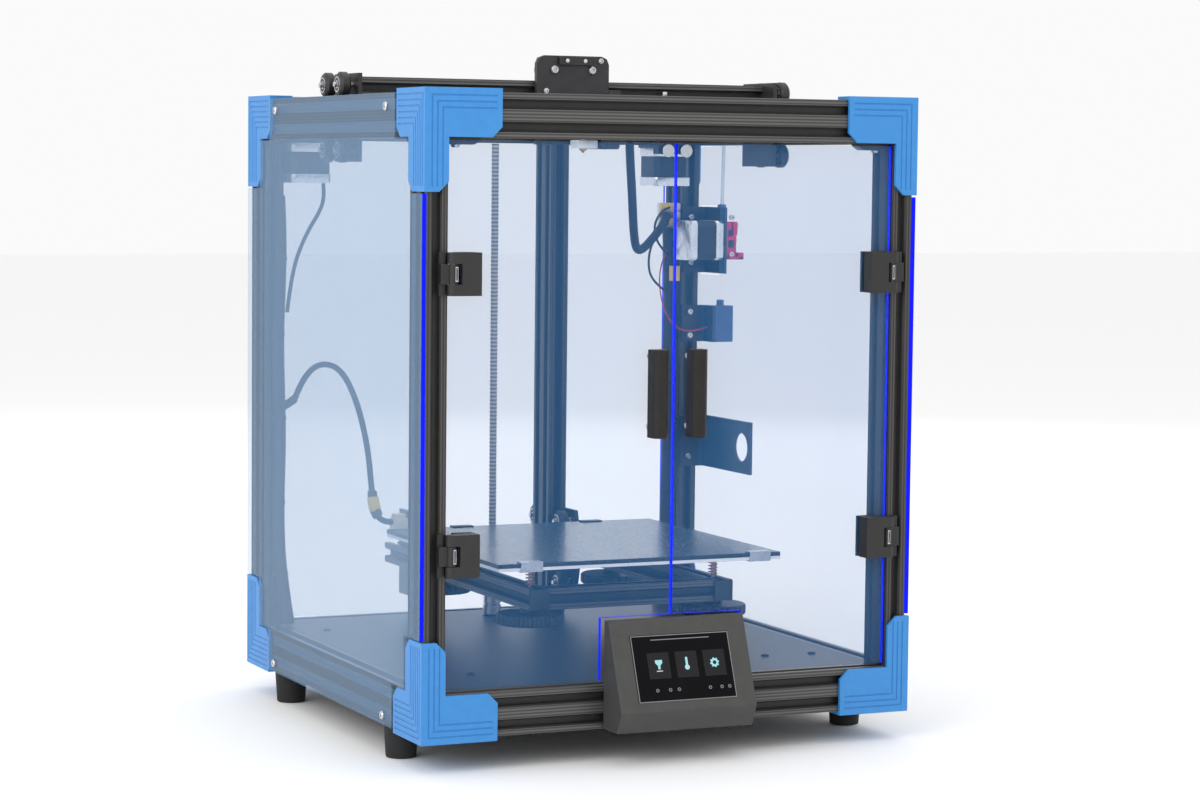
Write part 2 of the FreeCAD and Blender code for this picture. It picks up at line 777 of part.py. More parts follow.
# ---------------------------------------------------------------- doors
def door(side, sign):
    """One acrylic door with its handle and the moving halves of its hinges, drawn for the left."""
    notch_x = f"-screen_left + panel_gap"
    outline = [
        ("-door_outer_x", "door_bottom"),
        (f"-({notch_x})", "door_bottom"),
        (f"-({notch_x})", "screen_top + panel_gap"),
        ("-door_gap / 2", "screen_top + panel_gap"),
        ("-door_gap / 2", "door_top"),
        ("-door_outer_x", "door_top"),
    ]
    panel = plate(f"DoorPanel{side}", "XZ", outline, "door_front", "panel_thickness")
    right = "-handle_offset"
    left = "-handle_offset - handle_width"
    grip = [
        (left, "door_front"),
        (left, "door_front - handle_reach + 4"),
        (f"{left} + 4", "door_front - handle_reach"),
        (f"{right} - 4", "door_front - handle_reach"),
        (right, "door_front - handle_reach + 4"),
        (right, "door_front"),
    ]
    bar = plate(f"HandleBar{side}", "XY", grip, "handle_bottom", "handle_height")
    handle = [bar]
    middle = "-handle_offset - handle_width / 2"
    for level, z in (("Low", "handle_bottom + 9"), ("High", "handle_bottom + handle_height - 7")):
        handle.append(screw_head(f"HandleBolt{level}{side}", "Y", 1, middle, "door_back", z))
    disc = rod(f"StrikeDisc{side}", "Y", "6", "-9", "door_front - 1.5", "door_top - 7", "1.5")
    handle.append(disc)
    leaves = []
    for level, z in (("Low", "hinge_lower_height"), ("High", "hinge_upper_height")):
        leaves.append(hinge_leaf(f"{level}{side}", z))
    parts = [panel, together(f"HandleGroup{side}", handle), together(f"LeafGroup{side}", leaves)]
    if sign > 0:
        parts = [mirrored(part.Name + "Right", part, "X") for part in parts]
    names = ("door_panel", "door_handle", "door_hinges")
    return {f"{side.lower()}_{name}": part for name, part in zip(names, parts)}


def hinge_leaf(name, height):
    """The clamp of a door hinge: it turns on the pin and grips the acrylic on both faces."""
    foot = f"{height} - hinge_height / 2"
    top = f"{height} + hinge_height / 2"
    eye = "hinge_eye_radius + 1"
    front = block(
        f"Clamp{name}", "-hinge_x", "-hinge_x + hinge_length", f"hinge_y - ({eye})", "door_front", foot, top
    )
    knuckle = rod(f"Knuckle{name}", "Z", eye, "-hinge_x", "hinge_y", foot, "hinge_height")
    clear = block(
        f"PostClear{name}", "-hinge_x - 2", "-hinge_x + 5.5", "-half_depth - 0.5", "door_back", foot, top
    )
    body = without(f"ClampBody{name}", fused(f"ClampBlank{name}", [front, knuckle]), [
        clear,
        block(
            f"EyeSlot{name}", f"-hinge_x - ({eye}) - 1", "-hinge_x + hinge_eye_radius + 2",
            f"hinge_y - ({eye}) - 1", "door_back", f"{height} - 9", f"{height} + 9",
        ),
        rod(
            f"PinHole{name}", "Z", "hinge_pin_radius + running_clearance", "-hinge_x", "hinge_y",
            f"{foot} - 1", "hinge_height + 2",
        ),
    ])
    back = block(
        f"BackPlate{name}", "-hinge_x + 6", "-hinge_x + hinge_length", "door_back", "door_back + 3",
        foot, top,
    )
    return together(f"Leaf{name}", [body, back])


def hinge_brackets():
    """The fixed halves of the door hinges, with their pins."""
    pieces = []
    for level, height in (("Low", "hinge_lower_height"), ("High", "hinge_upper_height")):
        foot = f"{height} - hinge_height / 2"
        pad = block(
            f"HingePad{level}", "-post_inner_x - 9", "-post_inner_x - 3.5", "-half_depth - 3", "-half_depth",
            foot, f"{height} + hinge_height / 2",
        )
        tongue = block(
            f"HingeTongue{level}", "-post_inner_x - 9", "-hinge_x", "hinge_y - 1", "-half_depth - 1",
            f"{height} - 8.7", f"{height} + 8.7",
        )
        eye = rod(
            f"HingeEye{level}", "Z", "hinge_eye_radius", "-hinge_x", "hinge_y", f"{height} - 8.7", "17.4"
        )
        bored = without(f"HingeBracket{level}", fused(f"HingeBlank{level}", [pad, tongue, eye]), [
            rod(f"EyeBore{level}", "Z", "hinge_pin_radius", "-hinge_x", "hinge_y", f"{height} - 10", "20"),
        ])
        pin = rod(
            f"HingePin{level}", "Z", "hinge_pin_radius", "-hinge_x", "hinge_y", f"{foot} + 1",
            "hinge_height - 2",
        )
        pieces += both_sides(f"HingeBracketRight{level}", bored)
        pieces += both_sides(f"HingePinRight{level}", pin)
    return {"hinge_brackets": together("HingeBrackets", pieces)}


# ---------------------------------------------------------------- screen
def screen():
    """The sloping screen box on the front base bar, with its touch screen."""
    outline = [
        ("screen_back", "frame_bottom"),
        ("screen_back - 31", "frame_bottom"),
        ("screen_back - screen_nose", "frame_bottom + 20"),
        ("screen_back - 9", "screen_top"),
        ("screen_back", "screen_top"),
    ]
    box = plate("ScreenBox", "YZ", outline, "screen_left", "screen_right - screen_left")
    glass_left = "(screen_left + screen_right) / 2 - 49"
    slope = "(screen_nose - 9) / (screen_top - frame_bottom - 20)"
    face = [
        (f"screen_back - 9 - 14 * {slope} - 0.4", "screen_top - 14"),
        (f"screen_back - 9 - 14 * {slope} + 3", "screen_top - 14"),
        (f"screen_back - 9 - 71 * {slope} + 3", "screen_top - 71"),
        (f"screen_back - 9 - 71 * {slope} - 0.4", "screen_top - 71"),
    ]
    glass = plate("TouchGlass", "YZ", face, glass_left, "98")
    housing = without("ScreenHousing", box, [glass])
    return {"screen_housing": housing, "touch_screen": glass}


# ---------------------------------------------------------------- bed and lift
def bed():
    """The heated bed on four sprung screws over a frame of square bars."""
    inner = "bed_frame_half_width - bed_bar"
    middle = "bed_beam_top - bed_bar / 2"
    sides = []
    for side, sign in (("Left", -1), ("Right", 1)):
        bar = extrusion(
            f"BedBar{side}", "XZ", BED_BAR, (f"{sign} * level_x", middle), "bed_frame_front",
            "lift_post_rear + 4 - bed_frame_front",
        )
        bores = []
        for end, y in (("Front", "level_front"), ("Rear", "level_rear")):
            bores.append(
                rod(
                    f"LevelBore{end}{side}", "Z", "level_screw_radius + seat_clearance",
                    f"{sign} * level_x", y, "bed_beam_bottom - 1", "bed_bar + 2",
                )
            )
        sides.append(without(f"BedSide{side}", bar, bores))
    crosses = []
    for end, y in (("Front", "bed_frame_front + bed_bar / 2"), ("Rear", "lift_cross_y")):
        crosses.append(
            extrusion(f"BedCross{end}", "YZ", BED_BAR, (y, middle), f"-({inner})", f"2 * ({inner})")
        )
    half = "bed_size / 2"
    square = rectangle(f"-({half})", half, f"bed_centre - {half}", f"bed_centre + {half}")
    glass = plate("GlassPlate", "XY", square, "bed_plate_top", "glass_thickness")
    holes = []
    screws, springs = [], []
    knobs = {}
    for side, sign in (("left", -1), ("right", 1)):
        for end, y in (("front", "level_front"), ("rear", "level_rear")):
            x = f"{sign} * level_x"
            name = f"{end}_{side}"
            holes.append((x, y, "level_screw_radius"))
            screws.append(
                rod(
                    f"LevelScrew_{name}", "Z", "level_screw_radius", x, y, "knob_top - knob_height - 2",
                    "bed_plate_top - knob_top + knob_height + 2",
                )
            )
            gap = "bed_plate_bottom - bed_beam_top"
            tube = rod(f"SpringOuter_{name}", "Z", "spring_radius", x, y, "bed_beam_top", gap)
            hollow = rod(
                f"SpringInner_{name}", "Z", "spring_radius - 1.4", x, y, "bed_beam_top - 1", f"{gap} + 2"
            )
            springs.append(without(f"Spring_{name}", tube, [hollow]))
            knobs[f"{name}_knob"] = place(level_knob(f"Knob_{name}"), x, y, "knob_top - knob_height")
    with_tab = square[:3] + [
        ("bed_tab_left + bed_tab_width", "bed_rear"),
        ("bed_tab_left + bed_tab_width", "bed_rear + bed_tab_depth"),
        ("bed_tab_left", "bed_rear + bed_tab_depth"),
        ("bed_tab_left", "bed_rear"),
    ] + square[3:]
    heater = plate("HeatedBed", "XY", with_tab, "bed_plate_bottom", "heater_thickness", holes)
    clips = []
    for index, (x, end) in enumerate((("-112", -1), ("123", -1), ("-66", 1), ("76", 1))):
        clips.append(plate(f"BedClip{index}", "YZ", clip_profile(end, half), f"{x} - 11", "22"))
    result = {
        "bed_frame": together("BedFrame", sides + crosses),
        "heated_bed": heater,
        "glass_plate": glass,
        "bed_clips": together("BedClips", clips),
        "levelling_screws": together("LevellingScrews", screws + springs),
    }
    result.update(knobs)
    return result


def clip_profile(end, half):
    """Return a spring clip's C section around the glass and the heated plate at one end of the bed."""
    outer = f"bed_centre + {end} * ({half} + 1.2)"
    inner = f"bed_centre + {end} * ({half})"
    tip = f"bed_centre + {end} * ({half} - 9)"
    section = [
        (outer, "bed_plate_bottom - 1.2"),
        (tip, "bed_plate_bottom - 1.2"),
        (tip, "bed_plate_bottom"),
        (inner, "bed_plate_bottom"),
        (inner, "bed_top"),
        (tip, "bed_top"),
        (tip, "bed_top + 1.2"),
        (outer, "bed_top + 1.2"),
    ]
    return section if end < 0 else list(reversed(section))


def level_knob(name):
    """A wide thumb nut with a scalloped rim and a boss."""
    bore = "level_screw_radius + running_clearance"
    profile = [
        (bore, "0"),
        ("knob_radius - 1.5", "0"),
        ("knob_radius", "1.5"),
        ("knob_radius", "knob_height - 1.5"),
        ("knob_radius - 1.5", "knob_height"),
        ("9", "knob_height"),
        ("9", "knob_height + 3.5"),
        (bore, "knob_height + 3.5"),
    ]
    body = turned(name, profile)
    sketch = sketch_in(body, "XY")
    draw_circle(sketch, "knob_radius + 1", "0", "2.8")
    rim = body.newObject("PartDesign::Pocket", name + "Rim")
    rim.Profile = sketch
    rim.Type = "ThroughAll"
    rim.Midplane = True
    scallops = body.newObject("PartDesign::PolarPattern", name + "Scallops")
    scallops.Originals = [rim]
    scallops.Axis = (sketch, ["N_Axis"])
    scallops.Angle = 360
    scallops.setExpression("Occurrences", formula("knob_scallops"))
    body.Tip = scallops
    return body


def wheel_pair(name, axis, first, second, y, z):
    """Two V wheels on one line, with their bushes: the tread fits a slot's mouth."""
    half = "wheel_width / 2"
    crest = "wheel_crest / 2"
    profile = [
        ("wheel_bore", f"-({half}) - 0.6"),
        ("wheel_bore + 2", f"-({half}) - 0.6"),
        ("wheel_bore + 2", f"-({half})"),
        (f"wheel_radius - ({half}) + ({crest})", f"-({half})"),
        ("wheel_radius", f"-({crest})"),
        ("wheel_radius", crest),
        (f"wheel_radius - ({half}) + ({crest})", half),
        ("wheel_bore + 2", half),
        ("wheel_bore + 2", f"{half} + 0.6"),
        ("wheel_bore", f"{half} + 0.6"),
    ]
    wheels = []
    for index, along in enumerate((first, second)):
        wheel = turned(f"{name}{index}", profile, axis)
        wheels.append(place(wheel, along, y, z))
    return together(name + "Pair", wheels)


def single_wheel(name, x, z):
    """One V wheel of the head, on an axis along Y."""
    half = "wheel_width / 2"
    crest = "wheel_crest / 2"
    profile = [
        ("wheel_bore", f"-({half})"),
        (f"wheel_radius - ({half}) + ({crest})", f"-({half})"),
        ("wheel_radius", f"-({crest})"),
        ("wheel_radius", crest),
        (f"wheel_radius - ({half}) + ({crest})", half),
        ("wheel_bore", half),
    ]
    return place(turned(name, profile, "Y"), x, "beam_y", z)


def lift():
    """Carriage plates and wheels that climb the lift posts, the lead screw and its nut."""
    inner = "lift_plate_inner"
    outline = [
        ("lift_plate_front", "bed_beam_bottom - 4"),
        ("lift_front_axle - 10", "lift_wheel_lower - 12"),
        ("lift_rear_axle + 4.5", "lift_wheel_lower - 12"),
        ("lift_rear_axle + 4.5", "lift_plate_top"),
        ("lift_front_axle - 10", "lift_plate_top"),
        ("lift_plate_front", "bed_beam_top + 4"),
    ]
    plates, bolts = [], []
    spots = (
        ("FrontUpper", "lift_front_axle", "lift_wheel_upper"),
        ("FrontLower", "lift_front_axle", "lift_wheel_lower"),
        ("Rear", "lift_rear_axle", "lift_wheel_upper"),
    )
    side_plate = plate(
        "LiftPlateLeft", "YZ", outline, f"-({inner}) - lift_plate_thickness", "lift_plate_thickness"
    )
    plates += both_sides("LiftPlateRight", side_plate)
    for name, y, z in spots:
        reach = "lift_plate_inner - lift_post_spread + wheel_width / 2 + 4"
        shank = rod(f"LiftAxle{name}", "X", "wheel_bore - running_clearance", f"-({inner})", y, z, reach)
        spacer = rod(
            f"LiftSpacer{name}", "X", "4.5", f"-({inner})", y, z,
            "lift_plate_inner - lift_post_spread - wheel_width / 2 - 0.9",
        )
        bolt = fused(f"LiftBolt{name}", [shank, spacer])
        bolts += both_sides(f"LiftBoltRight{name}", bolt)
    nut_plate = plate(
        "NutPlate",
        "XY",
        rectangle("-22", "22", "lift_cross_y - bed_bar / 2", "screw_y + 16"),
        "bed_beam_bottom - 4",
        "4",
        [("0", "screw_y", "6")],
    )
    nut = without(
        "LeadNut",
        fused("LeadNutBlank", [
            rod("NutBarrel", "Z", "5.7", "0", "screw_y", "bed_beam_bottom - 10", "24"),
            rod("NutFlange", "Z", "11", "0", "screw_y", "bed_beam_bottom", "4"),
        ]),
        [
            rod(
                "NutBore", "Z", "screw_radius + running_clearance", "0", "screw_y", "bed_beam_bottom - 12",
                "28",
            )
        ],
    )
    screw_foot = "floor_top + 6"
    screw = rod("ScrewRod", "Z", "screw_radius", "0", "screw_y", screw_foot, f"screw_top - ({screw_foot})")
    coupler = without(
        "Coupler",
        rod("CouplerBlank", "Z", "9.5", "0", "screw_y", "floor_top + 2", "22"),
        [rod("CouplerBore", "Z", "screw_radius", "0", "screw_y", screw_foot, "30")],
    )
    result = {
        "lift_carriage": together("LiftCarriage", plates + bolts + [nut_plate, nut]),
        "lead_screw": together("LeadScrew", [screw, coupler]),
    }
    for name, y, z in spots:
        node = "lift_wheels_" + re.sub(r"(?<!^)([A-Z])", r"_\1", name).lower()
        result[node] = wheel_pair(f"LiftWheel{name}", "X", "-lift_post_spread", "lift_post_spread", y, z)
    return result


# ---------------------------------------------------------------- gantry and head
def gantry():
    """The cross beam, the plates at its ends and the wheels on the side rails."""
    beam = extrusion(
        "CrossBeam", "YZ", SQUARE_BAR, ("beam_y", "beam_bottom + bar_width / 2"), "-beam_half_length",
        "2 * beam_half_length",
    )
    low = "y_wheel_bottom - 11"
    high = "y_wheel_top + 11"
    outline = [
        ("y_wheel_front - 13", low),
        ("y_wheel_rear + 13", low),
        ("y_wheel_rear + 13", high),
        ("y_wheel_front - 13", high),
    ]
    outer = "beam_half_length + carriage_plate_thickness"
    left = plate("EndPlateLeft", "YZ", outline, f"-({outer})", "carriage_plate_thickness")
    pieces = both_sides("EndPlateRight", left)
    shelf = block(
        "IdlerShelfLeft", "-beam_half_length", "-idler_near_x + 12", "idler_far_y - 9", "idler_near_y + 9",
        "belt_level_b + belt_width + 2", "belt_level_b + belt_width + 5",
    )
    pieces += both_sides("IdlerShelfRight", shelf)
    result = {}
    for row, y in (("front", "y_wheel_front"), ("rear", "y_wheel_rear")):
        for level, z in (("top", "y_wheel_top"), ("bottom", "y_wheel_bottom")):
            name = f"{level}_{row}"
            reach = f"rail_x - ({outer}) + wheel_width / 2 + 4"
            shank = rod(
                f"RailAxle_{name}", "X", "wheel_bore - running_clearance", f"-({outer}) - ({reach})",
                y, z, reach,
            )
            pieces += both_sides(f"RailAxleRight_{name}", shank)
            result[f"rail_wheels_{name}"] = wheel_pair(f"RailWheel_{name}", "X", "-rail_x", "rail_x", y, z)
    pieces.append(block("LineClip", "87", "95", "beam_rear", "39", "beam_bottom - 4", "beam_bottom + 4"))
    result["cross_beam"] = beam
    result["gantry_plates"] = together("GantryPlates", pieces)
    return result


def head():
    """The carriage plate on the cross beam, its wheels, the hot end and its fan duct."""
    spots = (
        ("left", "head_x - head_wheel_pitch / 2", "x_wheel_top"),
        ("right", "head_x + head_wheel_pitch / 2", "x_wheel_top"),
        ("bottom", "head_x", "x_wheel_bottom"),
    )
    outline = [
        ("head_left", "head_plate_bottom"),
        ("head_right", "head_plate_bottom"),
        ("head_right", "head_plate_top - 8"),
        ("head_right - 2.4", "head_plate_top - 2.4"),
        ("head_right - 8", "head_plate_top"),
        ("head_left + 8", "head_plate_top"),
        ("head_left + 2.4", "head_plate_top - 2.4"),
        ("head_left", "head_plate_top - 8"),
    ]
    board = plate("HeadPlate", "XZ", outline, "head_plate_front", "head_plate_thickness")
    pieces = [board]
    result = {}
    for name, x, z in spots:
        shank = rod(
            f"HeadAxle_{name}", "Y", "wheel_bore - running_clearance", x, "head_plate_rear", z,
            "beam_y - head_plate_rear + wheel_width / 2 + 4",
        )
        pieces.append(shank)
        pieces.append(screw_head(f"HeadBolt_{name}", "Y", -1, x, "head_plate_front", z, "4.2", "3"))
        result[f"head_wheel_{name}"] = single_wheel(f"HeadWheel_{name}", x, z)
    strip = block(
        "HarnessClamp", "head_x - 16", "head_x + 19", "head_plate_front - 4", "head_plate_front",
        "head_plate_top - 9", "head_plate_top - 1",
    )
    clamp = block(
        "BeltClamp", "head_left + 4", "head_right - 4", "head_plate_rear",
        "belt_beam_y - belt_thickness / 2", "belt_level_a - 2", "belt_level_b + belt_width + 2",
    )
    switch = block(
        "EndSwitch", "head_right", "head_right + 13", "head_plate_front", "head_plate_rear",
        "beam_bottom - 2", "beam_bottom + 12",
    )
    pieces += [strip, clamp, switch]
    result["head_plate"] = together("HeadCarriage", pieces)
    sink_face = ("nozzle_x - 13", "nozzle_x + 13")
    sink = block("HeatSink", *sink_face, "nozzle_y - 13", "head_plate_front", "sink_bottom", "sink_top")
    heater = block(
        "HeaterBlock", "nozzle_x - 8", "nozzle_x + 12", "nozzle_y - 8", "nozzle_y + 8", "nozzle_tip + 4",
        "sink_bottom - 2",
    )
    throat = rod("Throat", "Z", "3", "nozzle_x", "nozzle_y", "sink_bottom - 2", "2")
    nozzle = place(
        turned("Nozzle", [("0", "0"), ("0.8", "0"), ("3.5", "2.7"), ("3.5", "4"), ("0", "4")]),
        "nozzle_x", "nozzle_y", "nozzle_tip",
    )
    fitting = rod("TubeFitting", "Z", "4.5", "nozzle_x", "nozzle_y", "sink_top", "8")
    result["hot_end"] = fused("HotEnd", [sink, heater, throat, nozzle, fitting])
    duct = [
        ("nozzle_x + 13.3", "sink_top"),
        ("nozzle_x + 13.3", "nozzle_tip + 12"),
        ("nozzle_x + 17", "nozzle_tip + 4"),
        ("nozzle_x + 24", "nozzle_tip + 4"),
        ("nozzle_x + 33", "nozzle_tip + 16"),
        ("nozzle_x + 33", "sink_top"),
    ]
    fan = plate("FanDuct", "XZ", duct, "nozzle_y - 13", "head_plate_front - nozzle_y + 13")
    front_fan = block(
        "SinkFan", "nozzle_x - 15", "nozzle_x + 13", "nozzle_y - 21", "nozzle_y - 13",
        "sink_bottom - 1", "sink_top + 1",
    )
    result["head_fans"] = together("HeadFans", [fan, front_fan])
    return result


# ---------------------------------------------------------------- drives and belts
def stepper(name, axis, outward, x, y, z, tall="motor_length"):
    """The square case of a stepper motor, from its front face at a point away from its shaft."""
    half = "motor_size / 2"
    corner = [
        (f"-({half}) + 4", f"-({half})"),
        (f"{half} - 4", f"-({half})"),
        (half, f"-({half}) + 4"),
        (half, f"{half} - 4"),
        (f"{half} - 4", half),
        (f"-({half}) + 4", half),
        (f"-({half})", f"{half} - 4"),
        (f"-({half})", f"-({half}) + 4"),
    ]
    case = plate(name + "Case", "XY", corner, "0", tall)
    case.Placement = FreeCAD.Placement(FreeCAD.Vector(), FreeCAD.Rotation(AXES["Z"], AXES[axis] * -outward))
    place(case, x, y, z)
    return case


def motors_and_brackets():
    """Two drive motors and the lift motor, with the brackets of the drives and front idlers."""
    motors, brackets = [], []
    for side, sign in (("Left", -1), ("Right", 1)):
        x = f"{sign} * motor_x"
        case = stepper(f"DriveMotor{side}", "Z", 1, x, "motor_y", "top_beam_bottom - 3")
        shaft = rod(
            f"DriveShaft{side}", "Z", "shaft_radius", x, "motor_y", "top_beam_bottom - 3",
            "belt_level_b + belt_width + 1 - top_beam_bottom + 3",
        )
        motors.append(fused(f"Drive{side}", [case, shaft]))
    bracket = plate(
        "DriveBracketLeft",
        "XY",
        rectangle(
            "-post_inner_x", "-motor_x + motor_size / 2", "motor_y - motor_size / 2", "beam_inner_y"
        ),
        "top_beam_bottom - 3",
        "3",
        [("-motor_x", "motor_y", "shaft_radius + 9")],
    )
    brackets += both_sides("DriveBracketRight", bracket)
    lift_face = "floor_bottom - 3"
    lift_length = f"{lift_face} - frame_bottom - plate_thickness"
    lift_motor = stepper("LiftMotorCase", "Z", 1, "0", "screw_y", lift_face, lift_length)
    motors.append(lift_motor)
    for side, sign in (("Left", -1), ("Right", 1)):
        x = f"{sign} * motor_x"
        top = "belt_level_b + belt_width"
        pin = rod(
            f"IdlerPin{side}", "Z", "idler_pin_radius", x, "idler_y", "belt_level_a - 4",
            f"{top} + 8 - belt_level_a",
        )
        arm = block(
            f"IdlerArm{side}", f"{x} - 9", f"{x} + 9", "-beam_inner_y", "idler_y + 9",
            f"{top} + 4", f"{top} + 7",
        )
        brackets.append(fused(f"IdlerBracket{side}", [pin, arm]))
    return motors, brackets


def belts_and_pulleys():
    """The toothed belts and the pulleys and idlers that they run on."""
    pulleys = []
    for side, sign, level in (("Left", -1, "belt_level_a"), ("Right", 1, "belt_level_b")):
        pulleys.append(pulley(f"DrivePulley{side}", f"{sign} * motor_x", "motor_y", level, "shaft_radius"))
        for stage in ("belt_level_a", "belt_level_b"):
            name = f"FrontIdler{side}_{stage}"
            pulleys.append(pulley(name, f"{sign} * motor_x", "idler_y", stage, "idler_pin_radius"))
    gantry_pulleys = []
    loops = (("Left", -1, "belt_level_a", "belt_level_b"), ("Right", 1, "belt_level_b", "belt_level_a"))
    for side, sign, near, far in loops:
        near_idler = pulley(f"NearIdler{side}", f"{sign} * idler_near_x", "idler_near_y", near, "0")
        far_idler = pulley(f"FarIdler{side}", f"{sign} * motor_x", "idler_far_y", far, "0")
        gantry_pulleys += [near_idler, far_idler]
    fixed, side_runs, beam_runs = [], [], []
    thick = "belt_thickness / 2"

    def run(name, x0, x1, y0, y1, level):
        return block(name, x0, x1, y0, y1, level, f"{level} + belt_width")

    for side, sign, level, other in loops:
        outer = (f"{sign} * belt_outer_x - {thick}", f"{sign} * belt_outer_x + {thick}")
        inner = (f"{sign} * belt_inner_x - {thick}", f"{sign} * belt_inner_x + {thick}")
        front = (f"idler_y - pulley_radius - {thick}", f"idler_y - pulley_radius + {thick}")
        beam = (f"belt_beam_y - {thick}", f"belt_beam_y + {thick}")
        fixed.append(run(f"FullRun{side}", *outer, "idler_y", "motor_y", level))
        fixed.append(run(f"CrossRun{side}", "-motor_x", "motor_x", *front, level))
        side_runs.append(run(f"RearRun{side}", *inner, "idler_near_y", "motor_y", level))
        side_runs.append(run(f"FrontRun{side}", *outer, "idler_y", "idler_far_y", other))
        for name, reach, height in (("Near", "idler_near_x", level), ("Far", "motor_x", other)):
            span = (f"-{reach}", "head_left + 4") if sign < 0 else ("head_right - 4", reach)
            beam_runs.append(run(f"{name}BeamRun{side}", *span, *beam, height))
    return {
        "belt_pulleys": together("BeltPulleys", pulleys),
        "gantry_pulleys": together("GantryPulleys", gantry_pulleys),
        "frame_belts": together("FrameBelts", fixed),
        "side_belts": together("SideBelts", side_runs),
        "beam_belts": together("BeamBelts", beam_runs),
    }


def pulley(name, x, y, level, bore):
    """A flanged belt pulley: the belt lies outside its drum."""
    drum = "pulley_radius - belt_thickness / 2"
    profile = [
        (bore, "-1"),
        ("pulley_flange", "-1"),
        ("pulley_flange", "-0.2"),
        (drum, "-0.2"),
        (drum, "belt_width + 0.2"),
        ("pulley_flange", "belt_width + 0.2"),
        ("pulley_flange", "belt_width + 1"),
        (bore, "belt_width + 1"),
    ]
    return place(turned(name, profile), x, y, level)


# ---------------------------------------------------------------- accessories on the right rear post
def accessories():
    """Spool plate, filament sensor and feeder, on folded brackets screwed to the right rear post."""
    flange = ("post_inner_x", "bracket_x + sheet_thickness")
    front = "post_inner_y - sheet_thickness"
    spool_top = "spool_plate_bottom + spool_plate_height"
    spool_flange = block("SpoolFlange", *flange, front, "post_inner_y", "spool_plate_bottom", spool_top)
    hole_y = "post_inner_y - spool_plate_reach + spool_hole_inset"
    arm = plate(
        "SpoolArm", "YZ",
        rectangle("post_inner_y - spool_plate_reach", front, "spool_plate_bottom", spool_top),
        "bracket_x", "sheet_thickness",
        [(hole_y, "spool_plate_bottom + spool_plate_height / 2", "spool_hole_radius")],
    )
    sensor_top = "sensor_bottom + sensor_height"
    sensor_flange = block("SensorFlange", *flange, front, "post_inner_y", "sensor_bottom", sensor_top)
    sensor_front = "post_inner_y - 22"
    upright = ("bracket_x", "bracket_x + sheet_thickness")
    sensor_arm = block("SensorArm", *upright, sensor_front, front, "sensor_bottom", sensor_top)
    feeder_low = "feeder_height - 35"
    feeder_high = "feeder_height + 35"
    feeder_front = "post_inner_y - motor_size - 6"
    feeder_flange = block("FeederFlange", *flange, front, "post_inner_y", feeder_low, feeder_high)
    motor_y = "post_inner_y - sheet_thickness - 2 - motor_size / 2"
    feeder_arm = plate(
        "FeederArm", "YZ", rectangle(feeder_front, front, feeder_low, feeder_high), "bracket_x",
        "sheet_thickness", [(motor_y, "feeder_height", "11.5")],
    )
    brackets = [
        fused("SpoolBracket", [spool_flange, arm]),
        fused("SensorBracket", [sensor_flange, sensor_arm]),
        fused("FeederBracket", [feeder_flange, feeder_arm]),
    ]
    case = stepper("FeederMotorCase", "X", 1, "bracket_x", motor_y, "feeder_height")
    shaft_length = "sheet_thickness + feeder_thickness"
    shaft = rod("FeederShaft", "X", "shaft_radius", "bracket_x", motor_y, "feeder_height", shaft_length)
    outer = "bracket_x + sheet_thickness"
    body_outline = [
        ("-20", "-20"),
        ("20", "-20"),
        ("20", "-12"),
        ("5", "-12"),
        ("5", "11"),
        ("20", "11"),
        ("20", "20"),
        ("-20", "20"),
    ]
    shaft_hole = [("0", "0", "shaft_radius + seat_clearance")]
    body = plate("FeederBody", "YZ", body_outline, "0", "feeder_thickness", shaft_hole)
    place(body, outer, motor_y, "feeder_height")
    fitting = rod("FeederFitting", "Z", "4.5", f"{outer} + 6", motor_y, "feeder_height + 20", "12")
    pivot = rod("LeverPivot", "X", "1.5", outer, f"{motor_y} + 13", "feeder_height", "11.5")
    lever_outline = [
        ("6.5", "-8"),
        ("20.5", "-8.5"),
        ("20.5", "-24"),
        ("26", "-26"),
        ("26", "-4"),
        ("20.5", "7.5"),
        ("6.5", "7.5"),
    ]
    blade = plate("LeverBlade", "YZ", lever_outline, "0", "9", [("13", "0", "1.5 + running_clearance")])
    place(blade, f"{outer} + 1", motor_y, "feeder_height")
    thumb = block(
        "LeverThumb", f"{outer} + 10", f"{outer} + 19", f"{motor_y} + 20.5", f"{motor_y} + 26",
        "feeder_height - 24", "feeder_height - 16",
    )
    lever = fused("FeederLever", [blade, thumb])
    sensor = block("SensorBox", outer, f"{outer} + 22", sensor_front, front, "sensor_bottom", sensor_top)
    guide = rod("SensorGuide", "Z", "4", f"{outer} + 11", "post_inner_y - 12", sensor_top, "6")
    parts_of_feeder = {
        "feeder_body": together("Feeder", [fused("FeederCase", [body, fitting]), pivot]),
        "feeder_lever": lever,
        "filament_sensor": fused("FilamentSensor", [sensor, guide]),
    }
    return brackets, fused("FeederMotor", [case, shaft]), parts_of_feeder


